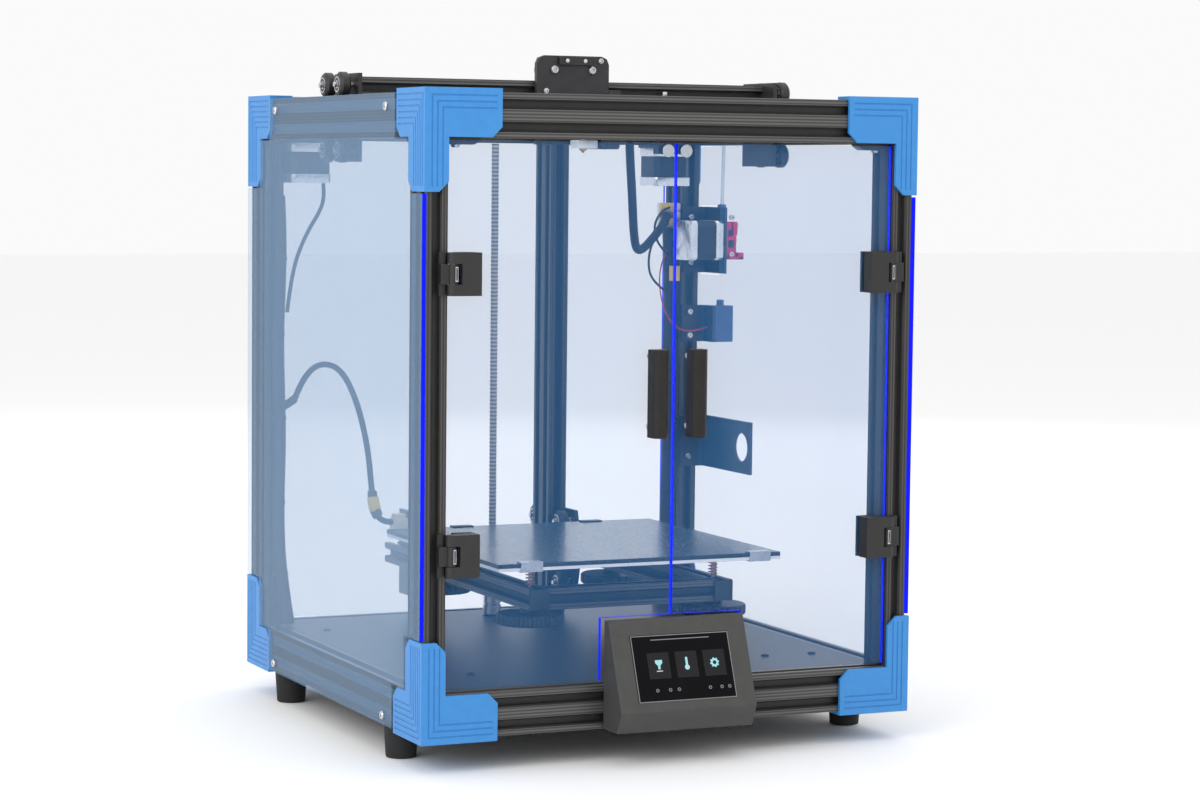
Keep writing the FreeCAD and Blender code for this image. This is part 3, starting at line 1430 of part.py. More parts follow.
# ---------------------------------------------------------------- cables and tube
def cord(name, radius, route):
    """Sweep a round section along straight runs joined by tangent arcs."""
    points = [FreeCAD.Vector(*point) for point in route]
    edges = []
    start = points[0]
    radii = []
    for before, here, after in zip(points, points[1:], points[2:]):
        inward = (here - before).normalize()
        onward = (after - here).normalize()
        turn = inward.getAngle(onward)
        shorter = min((here - before).Length, (after - here).Length)
        bend = 0.45 * shorter / math.tan(turn / 2)
        radii.append(round(bend, 1))
        near = here - inward * (0.45 * shorter)
        far = here + onward * (0.45 * shorter)
        toward = (onward - inward).normalize()
        middle = here + toward * (bend / math.cos(turn / 2) - bend)
        edges.append(Part.LineSegment(start, near).toShape())
        edges.append(Part.Arc(near, middle, far).toShape())
        start = far
    edges.append(Part.LineSegment(start, points[-1]).toShape())
    path = Part.Wire(edges)
    section = Part.Wire([Part.makeCircle(radius, points[0], points[1] - points[0])])
    tube = path.makePipeShell([section], True, False)
    expected = math.pi * radius ** 2 * path.Length
    ratio = tube.Volume / expected
    print(f"{name}: length {path.Length:.0f}, least bend {min(radii)}, volume ratio {ratio:.4f}")
    feature = doc.addObject("Part::Feature", name)
    feature.Shape = tube
    return feature


def cables():
    """Free and clipped cables and the feed tube, each along its own route."""
    bed_route = [
        (-212, 200, 300),
        (-206, 192, 322),
        (-192, 180, 338),
        (-173, 170, 332),
        (-159, 160, 298),
        (-152, 148, 252),
        (-152, 138, 214),
        (-151, 130, 190),
        (-144, 126, 180),
        (-134, 126, 180),
    ]
    bed_cable = cord("BedCableCord", 3, bed_route)
    plug = block(
        "BedPlug", "bed_tab_left", "bed_tab_left + bed_tab_width", "bed_rear + 6", "bed_rear + bed_tab_depth",
        "bed_plate_top", "bed_plate_top + bed_plug_height",
    )
    head_low = [
        (204, 200.6, 487),
        (197, 193, 478),
        (182, 187, 464),
        (166, 178, 452),
        (152, 166, 450),
        (142, 152, 468),
        (134, 140, 510),
        (126, 130, 554),
        (117, 112, 585),
        (106, 84, 599),
        (99, 66, 601.5),
        (92, 52, 602),
    ]
    head_high = [
        (86, 43.4, 599),
        (74.5, 40.4, 603),
        (60, 38.5, 605.5),
        (44, 38, 606.5),
        (27, 38.5, 606),
        (10, 39.5, 604),
    ]
    tube_low = [
        (258.5, 180, 493),
        (259, 179, 530),
        (259, 178, 566),
        (256, 175, 596),
        (240, 166, 612),
        (212, 146, 613),
        (182, 118, 606),
        (148, 82, 598),
        (112, 48, 594),
    ]
    tube_high = [
        (109, 45, 594),
        (88, 32, 592),
        (66, 12, 590),
        (46, -8, 597),
        (30, -16, 607),
        (14, -20, 610),
        (6, -20, 603),
        (6, -20, 592.2),
    ]
    left_bundle = [
        (-230, 197, 505),
        (-228, 196.5, 462),
        (-229, 197.5, 412),
        (-231, 197, 360),
        (-229.5, 196.5, 306),
        (-228, 197.5, 252),
        (-230, 197, 198),
        (-229, 196.5, 144),
        (-224, 196, 104),
        (-219, 196, 72),
    ]
    right_bundle = [
        (211, 209, 473),
        (213, 209, 440),
        (214.5, 210, 396),
        (213, 209.5, 346),
        (214, 209, 294),
        (214.5, 210, 240),
        (213, 209.5, 186),
        (212, 209, 132),
        (208, 208, 98),
        (203, 207, 72),
    ]
    motor_lead = [
        (-186, 190, 517.2),
        (-186, 186, 505),
        (-190, 187, 490),
        (-202, 190, 470),
        (-214, 192, 442),
        (-220, 193, 410),
        (-223.2, 192, 388),
    ]
    sockets = block("LineSockets", "198", "post_inner_x", "post_inner_y", "post_inner_y + 10", "474", "500")
    harness = [
        cord("LeftBundle", 6, left_bundle),
        cord("RightBundle", 8, right_bundle),
        cord("MotorLead", 2, motor_lead),
        sockets,
    ]
    rear_lines = [cord("HeadCableRear", 4.5, head_low), cord("FeedTubeRear", 2, tube_low)]
    head_lines = [cord("HeadCableFront", 4.5, head_high), cord("FeedTubeFront", 2, tube_high)]
    return {
        "harness": together("Harness", harness),
        "bed_cable": together("BedCable", [bed_cable, plug]),
        "rear_lines": together("RearLines", rear_lines),
        "head_lines": together("HeadLines", head_lines),
    }


# ---------------------------------------------------------------- assembly
def build():
    """Return every sub-part by its node name."""
    nodes = {}
    for part in (frame, corner_covers, panels, frame_screws, base, hinge_brackets, screen):
        nodes.update(part())
    nodes.update(door("Left", -1))
    nodes.update(door("Right", 1))
    for part in (bed, lift, gantry, head):
        nodes.update(part())
    nodes.update(belts_and_pulleys())
    post_brackets, feeder_motor, feeder_parts = accessories()
    motors, motor_brackets = motors_and_brackets()
    nodes.update(feeder_parts)
    nodes["stepper_motors"] = together("StepperMotors", motors + [feeder_motor])
    nodes["sheet_brackets"] = together("SheetBrackets", motor_brackets + post_brackets + corner_fittings())
    nodes.update(cables())
    return nodes


def check(nodes):
    """Stop where a feature failed or a sub-part has no valid shape."""
    for feature in doc.Objects:
        if "Invalid" in feature.State or "Error" in feature.State:
            raise RuntimeError(f"{feature.Name} failed: {feature.State}")
    for name, feature in nodes.items():
        if feature.Shape.isNull() or not feature.Shape.isValid():
            raise RuntimeError(f"{name} has no valid shape")


parts = build()
for label, part_feature in parts.items():
    part_feature.Label = label
doc.recompute()
check(parts)
os.makedirs("parts", exist_ok=True)
for label, part_feature in parts.items():
    part_feature.Shape.exportStep(f"parts/{label}.step")
print(len(parts), "sub-parts")
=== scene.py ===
"""Looks of the enclosed fdm printer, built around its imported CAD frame. Lengths are in metres."""
import json
import math
import bmesh
import bpy
from mathutils import Matrix, Vector

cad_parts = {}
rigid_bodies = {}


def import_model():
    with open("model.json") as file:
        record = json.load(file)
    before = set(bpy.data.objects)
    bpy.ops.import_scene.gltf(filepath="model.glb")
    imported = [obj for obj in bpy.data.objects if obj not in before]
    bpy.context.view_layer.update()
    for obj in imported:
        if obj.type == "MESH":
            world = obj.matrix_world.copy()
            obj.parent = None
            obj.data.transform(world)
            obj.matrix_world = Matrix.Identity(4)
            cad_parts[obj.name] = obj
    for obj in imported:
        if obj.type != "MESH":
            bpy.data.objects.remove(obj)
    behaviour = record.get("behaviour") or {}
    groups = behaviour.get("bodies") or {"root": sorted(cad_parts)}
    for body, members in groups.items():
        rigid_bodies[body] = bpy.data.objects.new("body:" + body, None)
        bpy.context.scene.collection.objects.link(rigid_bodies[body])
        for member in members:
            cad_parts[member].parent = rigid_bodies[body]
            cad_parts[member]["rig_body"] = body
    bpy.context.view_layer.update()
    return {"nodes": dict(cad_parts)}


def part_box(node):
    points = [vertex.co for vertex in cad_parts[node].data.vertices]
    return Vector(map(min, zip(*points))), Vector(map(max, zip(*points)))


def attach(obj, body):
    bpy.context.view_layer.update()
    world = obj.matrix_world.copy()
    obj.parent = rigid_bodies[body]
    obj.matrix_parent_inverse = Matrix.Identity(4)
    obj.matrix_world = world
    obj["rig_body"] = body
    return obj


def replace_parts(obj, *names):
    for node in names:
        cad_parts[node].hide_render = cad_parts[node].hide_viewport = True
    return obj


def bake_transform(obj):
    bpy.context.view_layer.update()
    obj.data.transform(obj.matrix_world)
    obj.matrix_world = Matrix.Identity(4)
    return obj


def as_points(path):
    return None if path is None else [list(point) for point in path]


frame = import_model()
nodes = frame["nodes"]
scene = bpy.context.scene
SHARP_EDGE = math.radians(35)
ROUNDED_EDGE = math.radians(40)


# ---------------------------------------------------------------- materials
def shader(name, colour, roughness, metallic=0.0, specular=0.5, alpha=1.0):
    """Return a new material and its Principled shader."""
    material = bpy.data.materials.new(name)
    material.use_nodes = True
    bsdf = material.node_tree.nodes["Principled BSDF"]
    bsdf.inputs["Base Color"].default_value = (*colour, 1)
    bsdf.inputs["Roughness"].default_value = roughness
    bsdf.inputs["Metallic"].default_value = metallic
    bsdf.inputs["Specular IOR Level"].default_value = specular
    bsdf.inputs["Alpha"].default_value = alpha
    return material, bsdf


def added(material, kind, **values):
    """Add a shader node to a material, with some of its inputs set."""
    node = material.node_tree.nodes.new("ShaderNode" + kind)
    for key, value in values.items():
        node.inputs[key.replace("_", " ")].default_value = value
    return node


def shaded(colour, share):
    """Return a colour made darker or lighter by a share, up to white."""
    return [min(1, channel * share) for channel in colour]


def coordinates(material, stretch=(1, 1, 1), turn=(0, 0, 0)):
    """Return the object coordinates of a material, stretched along each axis and turned."""
    source = added(material, "TexCoord")
    mapping = added(material, "Mapping", Scale=stretch, Rotation=turn)
    material.node_tree.links.new(source.outputs["Object"], mapping.inputs["Vector"])
    return mapping.outputs["Vector"]


def noise(material, stretch, detail=3.0):
    """Return a noise value between 0 and 1."""
    texture = added(material, "TexNoise", Scale=1.0, Detail=detail)
    material.node_tree.links.new(coordinates(material, stretch), texture.inputs["Vector"])
    return texture.outputs["Fac"]


def ranged(material, value, low, high, least=0.3, most=0.7):
    """Return a value between a least and a most mapped to a new range."""
    ramp = added(material, "MapRange", From_Min=least, From_Max=most, To_Min=low, To_Max=high)
    material.node_tree.links.new(value, ramp.inputs["Value"])
    return ramp.outputs["Result"]


def vary_roughness(material, bsdf, value, low, high):
    """Let a pattern move the roughness between two values."""
    material.node_tree.links.new(ranged(material, value, low, high), bsdf.inputs["Roughness"])


def vary_colour(material, bsdf, value, dark, light):
    """Let a pattern move the base colour between two colours."""
    mix = added(material, "Mix")
    mix.data_type = "RGBA"
    mix.inputs["A"].default_value = (*dark, 1)
    mix.inputs["B"].default_value = (*light, 1)
    links = material.node_tree.links
    links.new(ranged(material, value, 0, 1), mix.inputs["Factor"])
    links.new(mix.outputs["Result"], bsdf.inputs["Base Color"])


def add_bump(material, bsdf, value, height, strength=0.5):
    """Raise the surface by a pattern."""
    bump = added(material, "Bump", Strength=strength, Distance=height)
    links = material.node_tree.links
    links.new(value, bump.inputs["Height"])
    links.new(bump.outputs["Normal"], bsdf.inputs["Normal"])


def grained(
    name, colour, roughness, spread=0.1, grain=600, height=0.00003, metallic=0, specular=0.5, alpha=1,
):
    """A surface with a fine even grain in its colour, roughness and relief."""
    material, bsdf = shader(name, colour, roughness, metallic, specular, alpha)
    fine = noise(material, (grain,) * 3)
    coarse = noise(material, (grain / 12,) * 3)
    vary_colour(material, bsdf, coarse, shaded(colour, 1 - spread), shaded(colour, 1 + spread))
    vary_roughness(material, bsdf, fine, roughness - 0.05, roughness + 0.05)
    add_bump(material, bsdf, fine, height)
    return material


def drawn(name, colour, roughness, stretch, metallic, spread):
    """A drawn or brushed metal with streaks along its length."""
    material, bsdf = shader(name, colour, roughness, metallic)
    streaks = noise(material, stretch, 5)
    vary_colour(material, bsdf, streaks, shaded(colour, 1 - spread), shaded(colour, 1 + spread))
    vary_roughness(material, bsdf, streaks, roughness - 0.08, roughness + 0.08)
    add_bump(material, bsdf, streaks, 0.00004, 0.3)
    return material


def ribbed(name, colour, across, pitch=0.0029):
    """Anodised bar face with shallow ribs, counted along the directions that cross them; its colour carries
    painted shade in the troughs and painted highlights on the crests.
    """
    material, bsdf = shader(name, colour, 0.4, 0.5)
    links = material.node_tree.links
    travel = added(material, "VectorMath")
    travel.operation = "DOT_PRODUCT"
    travel.inputs[1].default_value = [share * 2 * math.pi / pitch for share in across]
    links.new(added(material, "TexCoord").outputs["Object"], travel.inputs[0])
    swing = added(material, "Math")
    swing.operation = "SINE"
    links.new(travel.outputs["Value"], swing.inputs[0])
    height = ranged(material, swing.outputs["Value"], 0.25, 0.75, -1.6, 1.6)
    # Painted shade and highlight: the colour runs from far darker in the troughs to lighter on the crests.
    vary_colour(material, bsdf, height, shaded(colour, 0.35), shaded(colour, 1.5))
    vary_roughness(material, bsdf, height, 0.34, 0.5)
    add_bump(material, bsdf, height, 0.0002, 0.5)
    return material


def acrylic(name, colour, cover):
    """Tinted clear sheet: cover is how much of each face isn't seen through."""
    material, bsdf = shader(name, colour, 0.06, specular=0.3, alpha=cover)
    material.surface_render_method = "BLENDED"
    add_bump(material, bsdf, noise(material, (6, 6, 6), 1), 0.0004, 0.15)
    return material


def glowing(name, colour, strength, base=(0.01, 0.01, 0.01)):
    """A surface that gives off its own light, as a display does; on the sheet edges the glow is a painted
    highlight.
    """
    material, bsdf = shader(name, base, 0.3, specular=0.08)
    bsdf.inputs["Emission Color"].default_value = (*colour, 1)
    bsdf.inputs["Emission Strength"].default_value = strength
    return material


def woven(name, colour, pitch):
    """Braided sleeve: two crossing sets of threads."""
    material, bsdf = shader(name, colour, 0.62)
    links = material.node_tree.links
    both = added(material, "Math")
    both.operation = "MULTIPLY"
    for index, slant in enumerate((1, -1)):
        wave = added(material, "TexWave", Scale=pitch, Distortion=0.6)
        turn = (slant * 0.8, slant * 0.6, slant * 0.8)
        links.new(coordinates(material, turn=turn), wave.inputs["Vector"])
        links.new(wave.outputs["Fac"], both.inputs[index])
    vary_colour(material, bsdf, both.outputs["Value"], shaded(colour, 0.5), colour)
    add_bump(material, bsdf, both.outputs["Value"], 0.0003, 0.6)
    return material


def layered(name, colour, axis_stretch):
    """Stack of thin steel sheets, as in a motor's middle."""
    material, bsdf = shader(name, colour, 0.42, 0.7)
    layers = noise(material, axis_stretch, 2)
    vary_colour(material, bsdf, layers, shaded(colour, 0.6), colour)
    add_bump(material, bsdf, layers, 0.0002, 0.6)
    return material


# Each look's maker and what it's given after its name. Grained looks: colour, roughness, spread of
# the colour, grain, height of the relief, metallic, specular level, alpha.
LOOK_TABLE = {
    "upright_bar": (ribbed, (0.062, 0.060, 0.057), (1, 1, 0)),
    # Painted light: the level bars get the upright bars' black anodising made lighter, for the light that
    # falls on them from above and in front.
    "level_bar": (ribbed, (0.098, 0.097, 0.094), (0, 0, 1)),
    # Painted shade: slots, gaps and recesses get a near-black far darker than the bars' own black anodising,
    # for the shade inside them.
    "slot_black": (grained, (0.012, 0.012, 0.012), 0.5, 0.2, 900),
    "cover_blue": (grained, (0.034, 0.238, 0.60), 0.42, 0.04, 1400, 0.00004),
    # Painted reflection: the left side panel gets its own paler, less clear copy of the sheet for the glare
    # it shows when seen at a slant.
    "side_sheet": (acrylic, (0.20, 0.37, 0.60), 0.32),
    "clear_sheet": (acrylic, (0.06, 0.285, 0.68), 0.11),
    "rear_sheet": (acrylic, (0.03, 0.40, 0.92), 0.07),
    # Painted highlight: the cut edges of the acrylic glow as though lit, though they give off no light.
    "sheet_edge": (glowing, (0.004, 0.01, 0.80), 0.9, (0.0, 0.0, 0.5)),
    "zinc": (grained, (0.62, 0.62, 0.64), 0.26, 0.06, 500, 0.00002, 1.0),
    "steel": (grained, (0.55, 0.55, 0.57), 0.28, 0.08, 500, 0.00002, 1.0),
    "black_sheet": (grained, (0.022, 0.022, 0.024), 0.42, 0.2, 1200, 0.00005),
    "floor_sheet": (grained, (0.018, 0.022, 0.026), 0.42, 0.2, 1200, 0.00003, 0, 0.3),
    "rubber": (grained, (0.012, 0.012, 0.012), 0.78, 0.25, 700, 0.0001),
    "belt": (grained, (0.016, 0.016, 0.017), 0.7, 0.25, 700, 0.0001),
    "black_plastic": (grained, (0.02, 0.02, 0.021), 0.46, 0.2, 900, 0.00006),
    "handle_black": (grained, (0.013, 0.012, 0.011), 0.5, 0.15, 900, 0.00005, 0, 0.3),
    "hinge_grey": (grained, (0.014, 0.0135, 0.013), 0.5, 0.12, 900, 0.00008),
    "housing_grey": (grained, (0.050, 0.050, 0.048), 0.6, 0.1, 1000, 0.00012),
    "display_black": (grained, (0.004, 0.004, 0.005), 0.2, 0.1, 300, 0.000002, 0, 0.06),
    "red_anodised": (grained, (0.62, 0.02, 0.07), 0.32, 0.08, 900, 0.00002, 0.75),
    "bed_glass": (grained, (0.045, 0.075, 0.11), 0.24, 0.1, 300, 0.000002, 0, 0.25),
    "bed_glass_edge": (grained, (0.004, 0.010, 0.022), 0.3, 0.1, 300, 0.000002),
    "bright_plate": (grained, (0.86, 0.88, 0.90), 0.35, 0.03, 500, 0.00001, 0.2),
    "aluminium": (drawn, (0.78, 0.79, 0.81), 0.28, (60, 600, 60), 0.9, 0.06),
    # The lead screw also gets the ribbed stripes of painted shade and highlight.
    "bright_screw": (ribbed, (0.50, 0.50, 0.49), (0, 0, 1), 0.004),
    "clip_metal": (grained, (0.42, 0.45, 0.50), 0.3, 0.08, 500, 0.00002, 0.8),
    "copper": (grained, (0.62, 0.19, 0.055), 0.34, 0.1, 500, 0.00002, 0.4),
    "connector_brown": (grained, (0.22, 0.10, 0.03), 0.45),
    "brass": (grained, (0.72, 0.50, 0.18), 0.3, 0.1, 500, 0.00002, 0.9),
    "motor_stack": (layered, (0.05, 0.05, 0.055), (40, 40, 2500)),
    "motor_stack_level": (layered, (0.05, 0.05, 0.055), (2500, 40, 40)),
    "sleeve": (woven, (0.03, 0.03, 0.034), 420),
    "wire_black": (grained, (0.015, 0.015, 0.016), 0.45, 0.15),
    "wire_red": (grained, (0.5, 0.02, 0.02), 0.4),
    "cream": (grained, (0.78, 0.70, 0.50), 0.4, 0.05),
    "white_plastic": (grained, (0.85, 0.85, 0.84), 0.35, 0.03),
    "yellow_plastic": (grained, (0.85, 0.58, 0.08), 0.4, 0.05),
    "tube": (grained, (0.62, 0.68, 0.76), 0.25, 0.03, 300, 0.00001, 0, 0.5, 0.35),
    "sensor_blue": (grained, (0.03, 0.07, 0.22), 0.2, 0.1, 400, 0.00001, 0, 0.5, 0.82),
    "board_green": (grained, (0.02, 0.13, 0.06), 0.4, 0.15, 400, 0.00002),
    "tile": (glowing, (0.006, 0.006, 0.007), 1.0, (0.014, 0.014, 0.015)),
    "icon_cyan": (glowing, (0.42, 0.85, 0.92), 0.9),
    "icon_white": (glowing, (0.85, 0.87, 0.88), 0.8),
    "icon_grey": (glowing, (0.30, 0.31, 0.32), 0.8),
}
LOOKS = {name: maker(name, *values) for name, (maker, *values) in LOOK_TABLE.items()}


# ---------------------------------------------------------------- mesh makers
def new_piece(name, mesh, looks, body):
    """Put a mesh in the scene as a piece that rides on a body, or on none yet."""
    piece = bpy.data.objects.new(name, mesh)
    scene.collection.objects.link(piece)
    for look in looks:
        piece.data.materials.append(LOOKS[look])
    if body:
        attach(piece, body)
    return piece


class Builder:
    """Gathers simple rounded shapes into one mesh, each with its own look."""

    def __init__(self):
        self.shape = bmesh.new()
        self.looks = []

    def take(self, part, look, bevel, place=None):
        """Round a part's sharp edges and add it."""
        bmesh.ops.recalc_face_normals(part, faces=part.faces)
        if bevel:
            sharp = [edge for edge in part.edges if edge.calc_face_angle(0) > SHARP_EDGE]
            bmesh.ops.bevel(part, geom=sharp, offset=bevel, segments=2, profile=0.5, affect="EDGES")
        if look not in self.looks:
            self.looks.append(look)
        for face in part.faces:
            face.material_index = self.looks.index(look)
        if place:
            bmesh.ops.transform(part, matrix=place, verts=part.verts)
        carrier = bpy.data.meshes.new("carrier")
        part.to_mesh(carrier)
        part.free()
        self.shape.from_mesh(carrier)
        bpy.data.meshes.remove(carrier)

    def box(self, low, high, look, bevel=0.0004, place=None):
        """Add a box between two corners."""
        part = bmesh.new()
        bmesh.ops.create_cube(part, size=1)
        low, high = Vector(low), Vector(high)
        for vertex in part.verts:
            share = vertex.co + Vector((0.5, 0.5, 0.5))
            vertex.co = [low[i] + (high[i] - low[i]) * share[i] for i in range(3)]
        self.take(part, look, bevel, place)

    def prism(self, outline, start, end, look, bevel, place):
        """Add an outline of (x, y) points raised from one height to another."""
        part = bmesh.new()
        floor = part.faces.new([part.verts.new((x, y, start)) for x, y in outline])
        raised = bmesh.ops.extrude_face_region(part, geom=[floor])
        for item in raised["geom"]:
            if isinstance(item, bmesh.types.BMVert):
                item.co.z = end
        self.take(part, look, bevel, place)

    def turned(self, profile, look, place, steps=32):
        """Add a profile of (radius, height) points turned about the upright axis."""
        part = bmesh.new()
        rings = []
        for radius, height in profile:
            spots = circle(0, 0, radius, steps) if radius > 0 else [(0, 0)]
            rings.append([part.verts.new((x, y, height)) for x, y in spots])
        for lower, upper in zip(rings, rings[1:]):
            for step in range(steps):
                after = (step + 1) % steps
                corners = [lower[step % len(lower)], lower[after % len(lower)]]
                corners += [upper[after % len(upper)], upper[step % len(upper)]]
                corners = list(dict.fromkeys(corners))
                if len(corners) > 2:
                    part.faces.new(corners)
        for ring in (rings[0], rings[-1]):
            if len(ring) > 1 and profile[0] != profile[-1]:
                part.faces.new(ring)
        bmesh.ops.remove_doubles(part, verts=part.verts, dist=1e-7)
        self.take(part, look, 0, place)

    def tube(self, path, radius, look, steps=14):
        """Add a round tube along a path, without twist and with closed ends."""
        part = bmesh.new()
        rings = []
        side = None
        for index, point in enumerate(path):
            ahead = (path[min(index + 1, len(path) - 1)] - path[max(index - 1, 0)]).normalized()
            side = ahead.orthogonal() if side is None else side - ahead * side.dot(ahead)
            side.normalize()
            other = ahead.cross(side)
            angles = [2 * math.pi * step / steps for step in range(steps)]
            spots = [point + radius * (side * math.cos(turn) + other * math.sin(turn)) for turn in angles]
            rings.append([part.verts.new(spot) for spot in spots])
        for lower, upper in zip(rings, rings[1:]):
            for step in range(steps):
                after = (step + 1) % steps
                part.faces.new((lower[step], lower[after], upper[after], upper[step]))
        part.faces.new(rings[0])
        part.faces.new(rings[-1])
        self.take(part, look, 0)

    def holed(self, half_x, half_y, radius, start, end, look, place):
        """Add a rectangular plate with a round hole through its middle."""
        part = bmesh.new()
        loops, steps = [], 40
        for height in (start, end):
            inner, outer = [], []
            for across, along in circle(0, 0, 1, steps):
                reach = min(half_x / max(abs(across), 1e-6), half_y / max(abs(along), 1e-6))
                outer.append(part.verts.new((reach * across, reach * along, height)))
                inner.append(part.verts.new((radius * across, radius * along, height)))
            loops.append((inner, outer))
        (inner_low, outer_low), (inner_high, outer_high) = loops
        for step in range(steps):
            after = (step + 1) % steps
            for one, two in (
                (inner_low, outer_low), (inner_high, outer_high),
                (outer_low, outer_high), (inner_low, inner_high),
            ):
                part.faces.new((one[step], one[after], two[after], two[step]))
        self.take(part, look, 0, place)

    def bolt(self, place, washer, thick, head, top, socket, floor, steps=32):
        """Add a socket screw's head on a black washer: radius and height of each, and of the socket."""
        self.turned([(0, 0), (washer, 0), (washer, thick), (0, thick)], "black_plastic", place, steps)
        profile = [(0, thick), (head, thick), (head, top - 0.0004), (head - 0.0004, top)]
        self.turned(profile + [(socket, top), (socket, floor), (0, floor)], "zinc", place, steps)

    def finish(self, name, body, smooth=40):
        """Return the gathered mesh as a piece."""
        mesh = bpy.data.meshes.new(name)
        self.shape.to_mesh(mesh)
        self.shape.free()
        mesh.shade_smooth()
        mesh.set_sharp_from_angle(angle=math.radians(smooth))
        return new_piece(name, mesh, self.looks, body)


def facing(axis, centre):
    """Return the placement that turns the upright axis to a direction and moves to a centre."""
    turn = Vector((0, 0, 1)).rotation_difference(Vector(axis)).to_matrix().to_4x4()
    return Matrix.Translation(Vector(centre)) @ turn


def islands(node):
    """Return the boxes of a node's separate solids, sorted by place."""
    mesh = nodes[node].data
    spots = {}
    owner = []

    def root(index):
        while owner[index] != index:
            owner[index] = owner[owner[index]]
            index = owner[index]
        return index

    index_of = []
    for vertex in mesh.vertices:
        key = tuple(round(value, 6) for value in vertex.co)
        if key not in spots:
            spots[key] = len(owner)
            owner.append(len(owner))
        index_of.append(spots[key])
    for polygon in mesh.polygons:
        first = root(index_of[polygon.vertices[0]])
        for corner in polygon.vertices:
            owner[root(index_of[corner])] = first
    groups = {}
    for key, index in spots.items():
        groups.setdefault(root(index), []).append(key)
    boxes = []
    for points in groups.values():
        low = Vector([min(point[i] for point in points) for i in range(3)])
        high = Vector([max(point[i] for point in points) for i in range(3)])
        boxes.append((low, high))
    return sorted(boxes, key=lambda pair: tuple(round(value, 4) for value in pair[0]))


def by_solid(node, rule):
    """Return the chooser that gives each solid of a node the look that its box calls for."""
    boxes = sorted(islands(node), key=lambda pair: math.prod(pair[1] - pair[0]))

    def choose(centre, _):
        for low, high in boxes:
            if all(low[i] - 1e-5 < centre[i] < high[i] + 1e-5 for i in range(3)):
                return rule(low, high)
        return 0

    return choose


def outer_faces(boxes):
    """Return the chooser that tells the outer faces of slotted bars, given their boxes, from their slots."""
    near, skin, square = 1e-4, 3e-4, 0.9

    def choose(centre, normal):
        for low, high in boxes:
            if not all(low[i] - near < centre[i] < high[i] + near for i in range(3)):
                continue
            run = max(range(3), key=lambda i: high[i] - low[i])
            for i in range(3):
                on_face = min(centre[i] - low[i], high[i] - centre[i]) < skin
                if i != run and on_face and abs(normal[i]) > square:
                    return 0
        return 1

    return choose


def bed_bars():
    """Return the boxes of the bed's two long and two short bars, which touch at their ends."""
    low, high = (Vector(corner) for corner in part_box("bed_frame"))
    wide = high.z - low.z
    rear_bar = 0.1309
    long_bars = [
        (Vector((x, low.y, low.z)), Vector((x + wide, high.y, high.z)))
        for x in (low.x, high.x - wide)
    ]
    short_bars = [
        (Vector((low.x + wide, y, low.z)), Vector((high.x - wide, y + wide, high.z)))
        for y in (low.y, rear_bar)
    ]
    return long_bars, short_bars


def circle(x, y, radius, steps=28):
    """Return the outline of a circle."""
    angles = [2 * math.pi * step / steps for step in range(steps)]
    return [(x + radius * math.cos(angle), y + radius * math.sin(angle)) for angle in angles]


def rectangle(x, y, half_x, half_y):
    """Return the outline of a rectangle around a point."""
    return [(x + a * half_x, y + b * half_y) for a, b in ((-1, -1), (1, -1), (1, 1), (-1, 1))]


def ring(inner, outer, low, high):
    """Return the profile of a ring with a square section."""
    return [(inner, low), (outer, low), (outer, high), (inner, high), (inner, low)]


def refined(node, width, looks, choose=None, segments=2):
    """Copy a CAD node with rounded edges and the looks that its faces choose."""
    name = node + "_finish"
    source = nodes[node].data
    shape = bmesh.new()
    for vertex in source.vertices:
        shape.verts.new(vertex.co)
    shape.verts.ensure_lookup_table()
    for polygon in source.polygons:
        try:
            shape.faces.new([shape.verts[index] for index in polygon.vertices])
        except ValueError:
            continue
    bmesh.ops.remove_doubles(shape, verts=shape.verts, dist=2e-6)
    bmesh.ops.dissolve_limit(shape, angle_limit=math.radians(1), verts=shape.verts, edges=shape.edges)
    shape.normal_update()
    if choose:
        for face in shape.faces:
            face.material_index = choose(face.calc_center_median(), face.normal)
    mesh = bpy.data.meshes.new(name)
    shape.to_mesh(mesh)
    shape.free()
    mesh.shade_smooth()
    mesh.set_sharp_from_angle(angle=SHARP_EDGE)
    piece = new_piece(name, mesh, looks, nodes[node]["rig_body"])
    rounding = piece.modifiers.new("Rounding", "BEVEL")
    rounding.width = width
    rounding.segments = segments
    rounding.limit_method = "ANGLE"
    rounding.angle_limit = ROUNDED_EDGE
    rounding.harden_normals = True
    rounding.use_clamp_overlap = True
    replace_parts(piece, node)


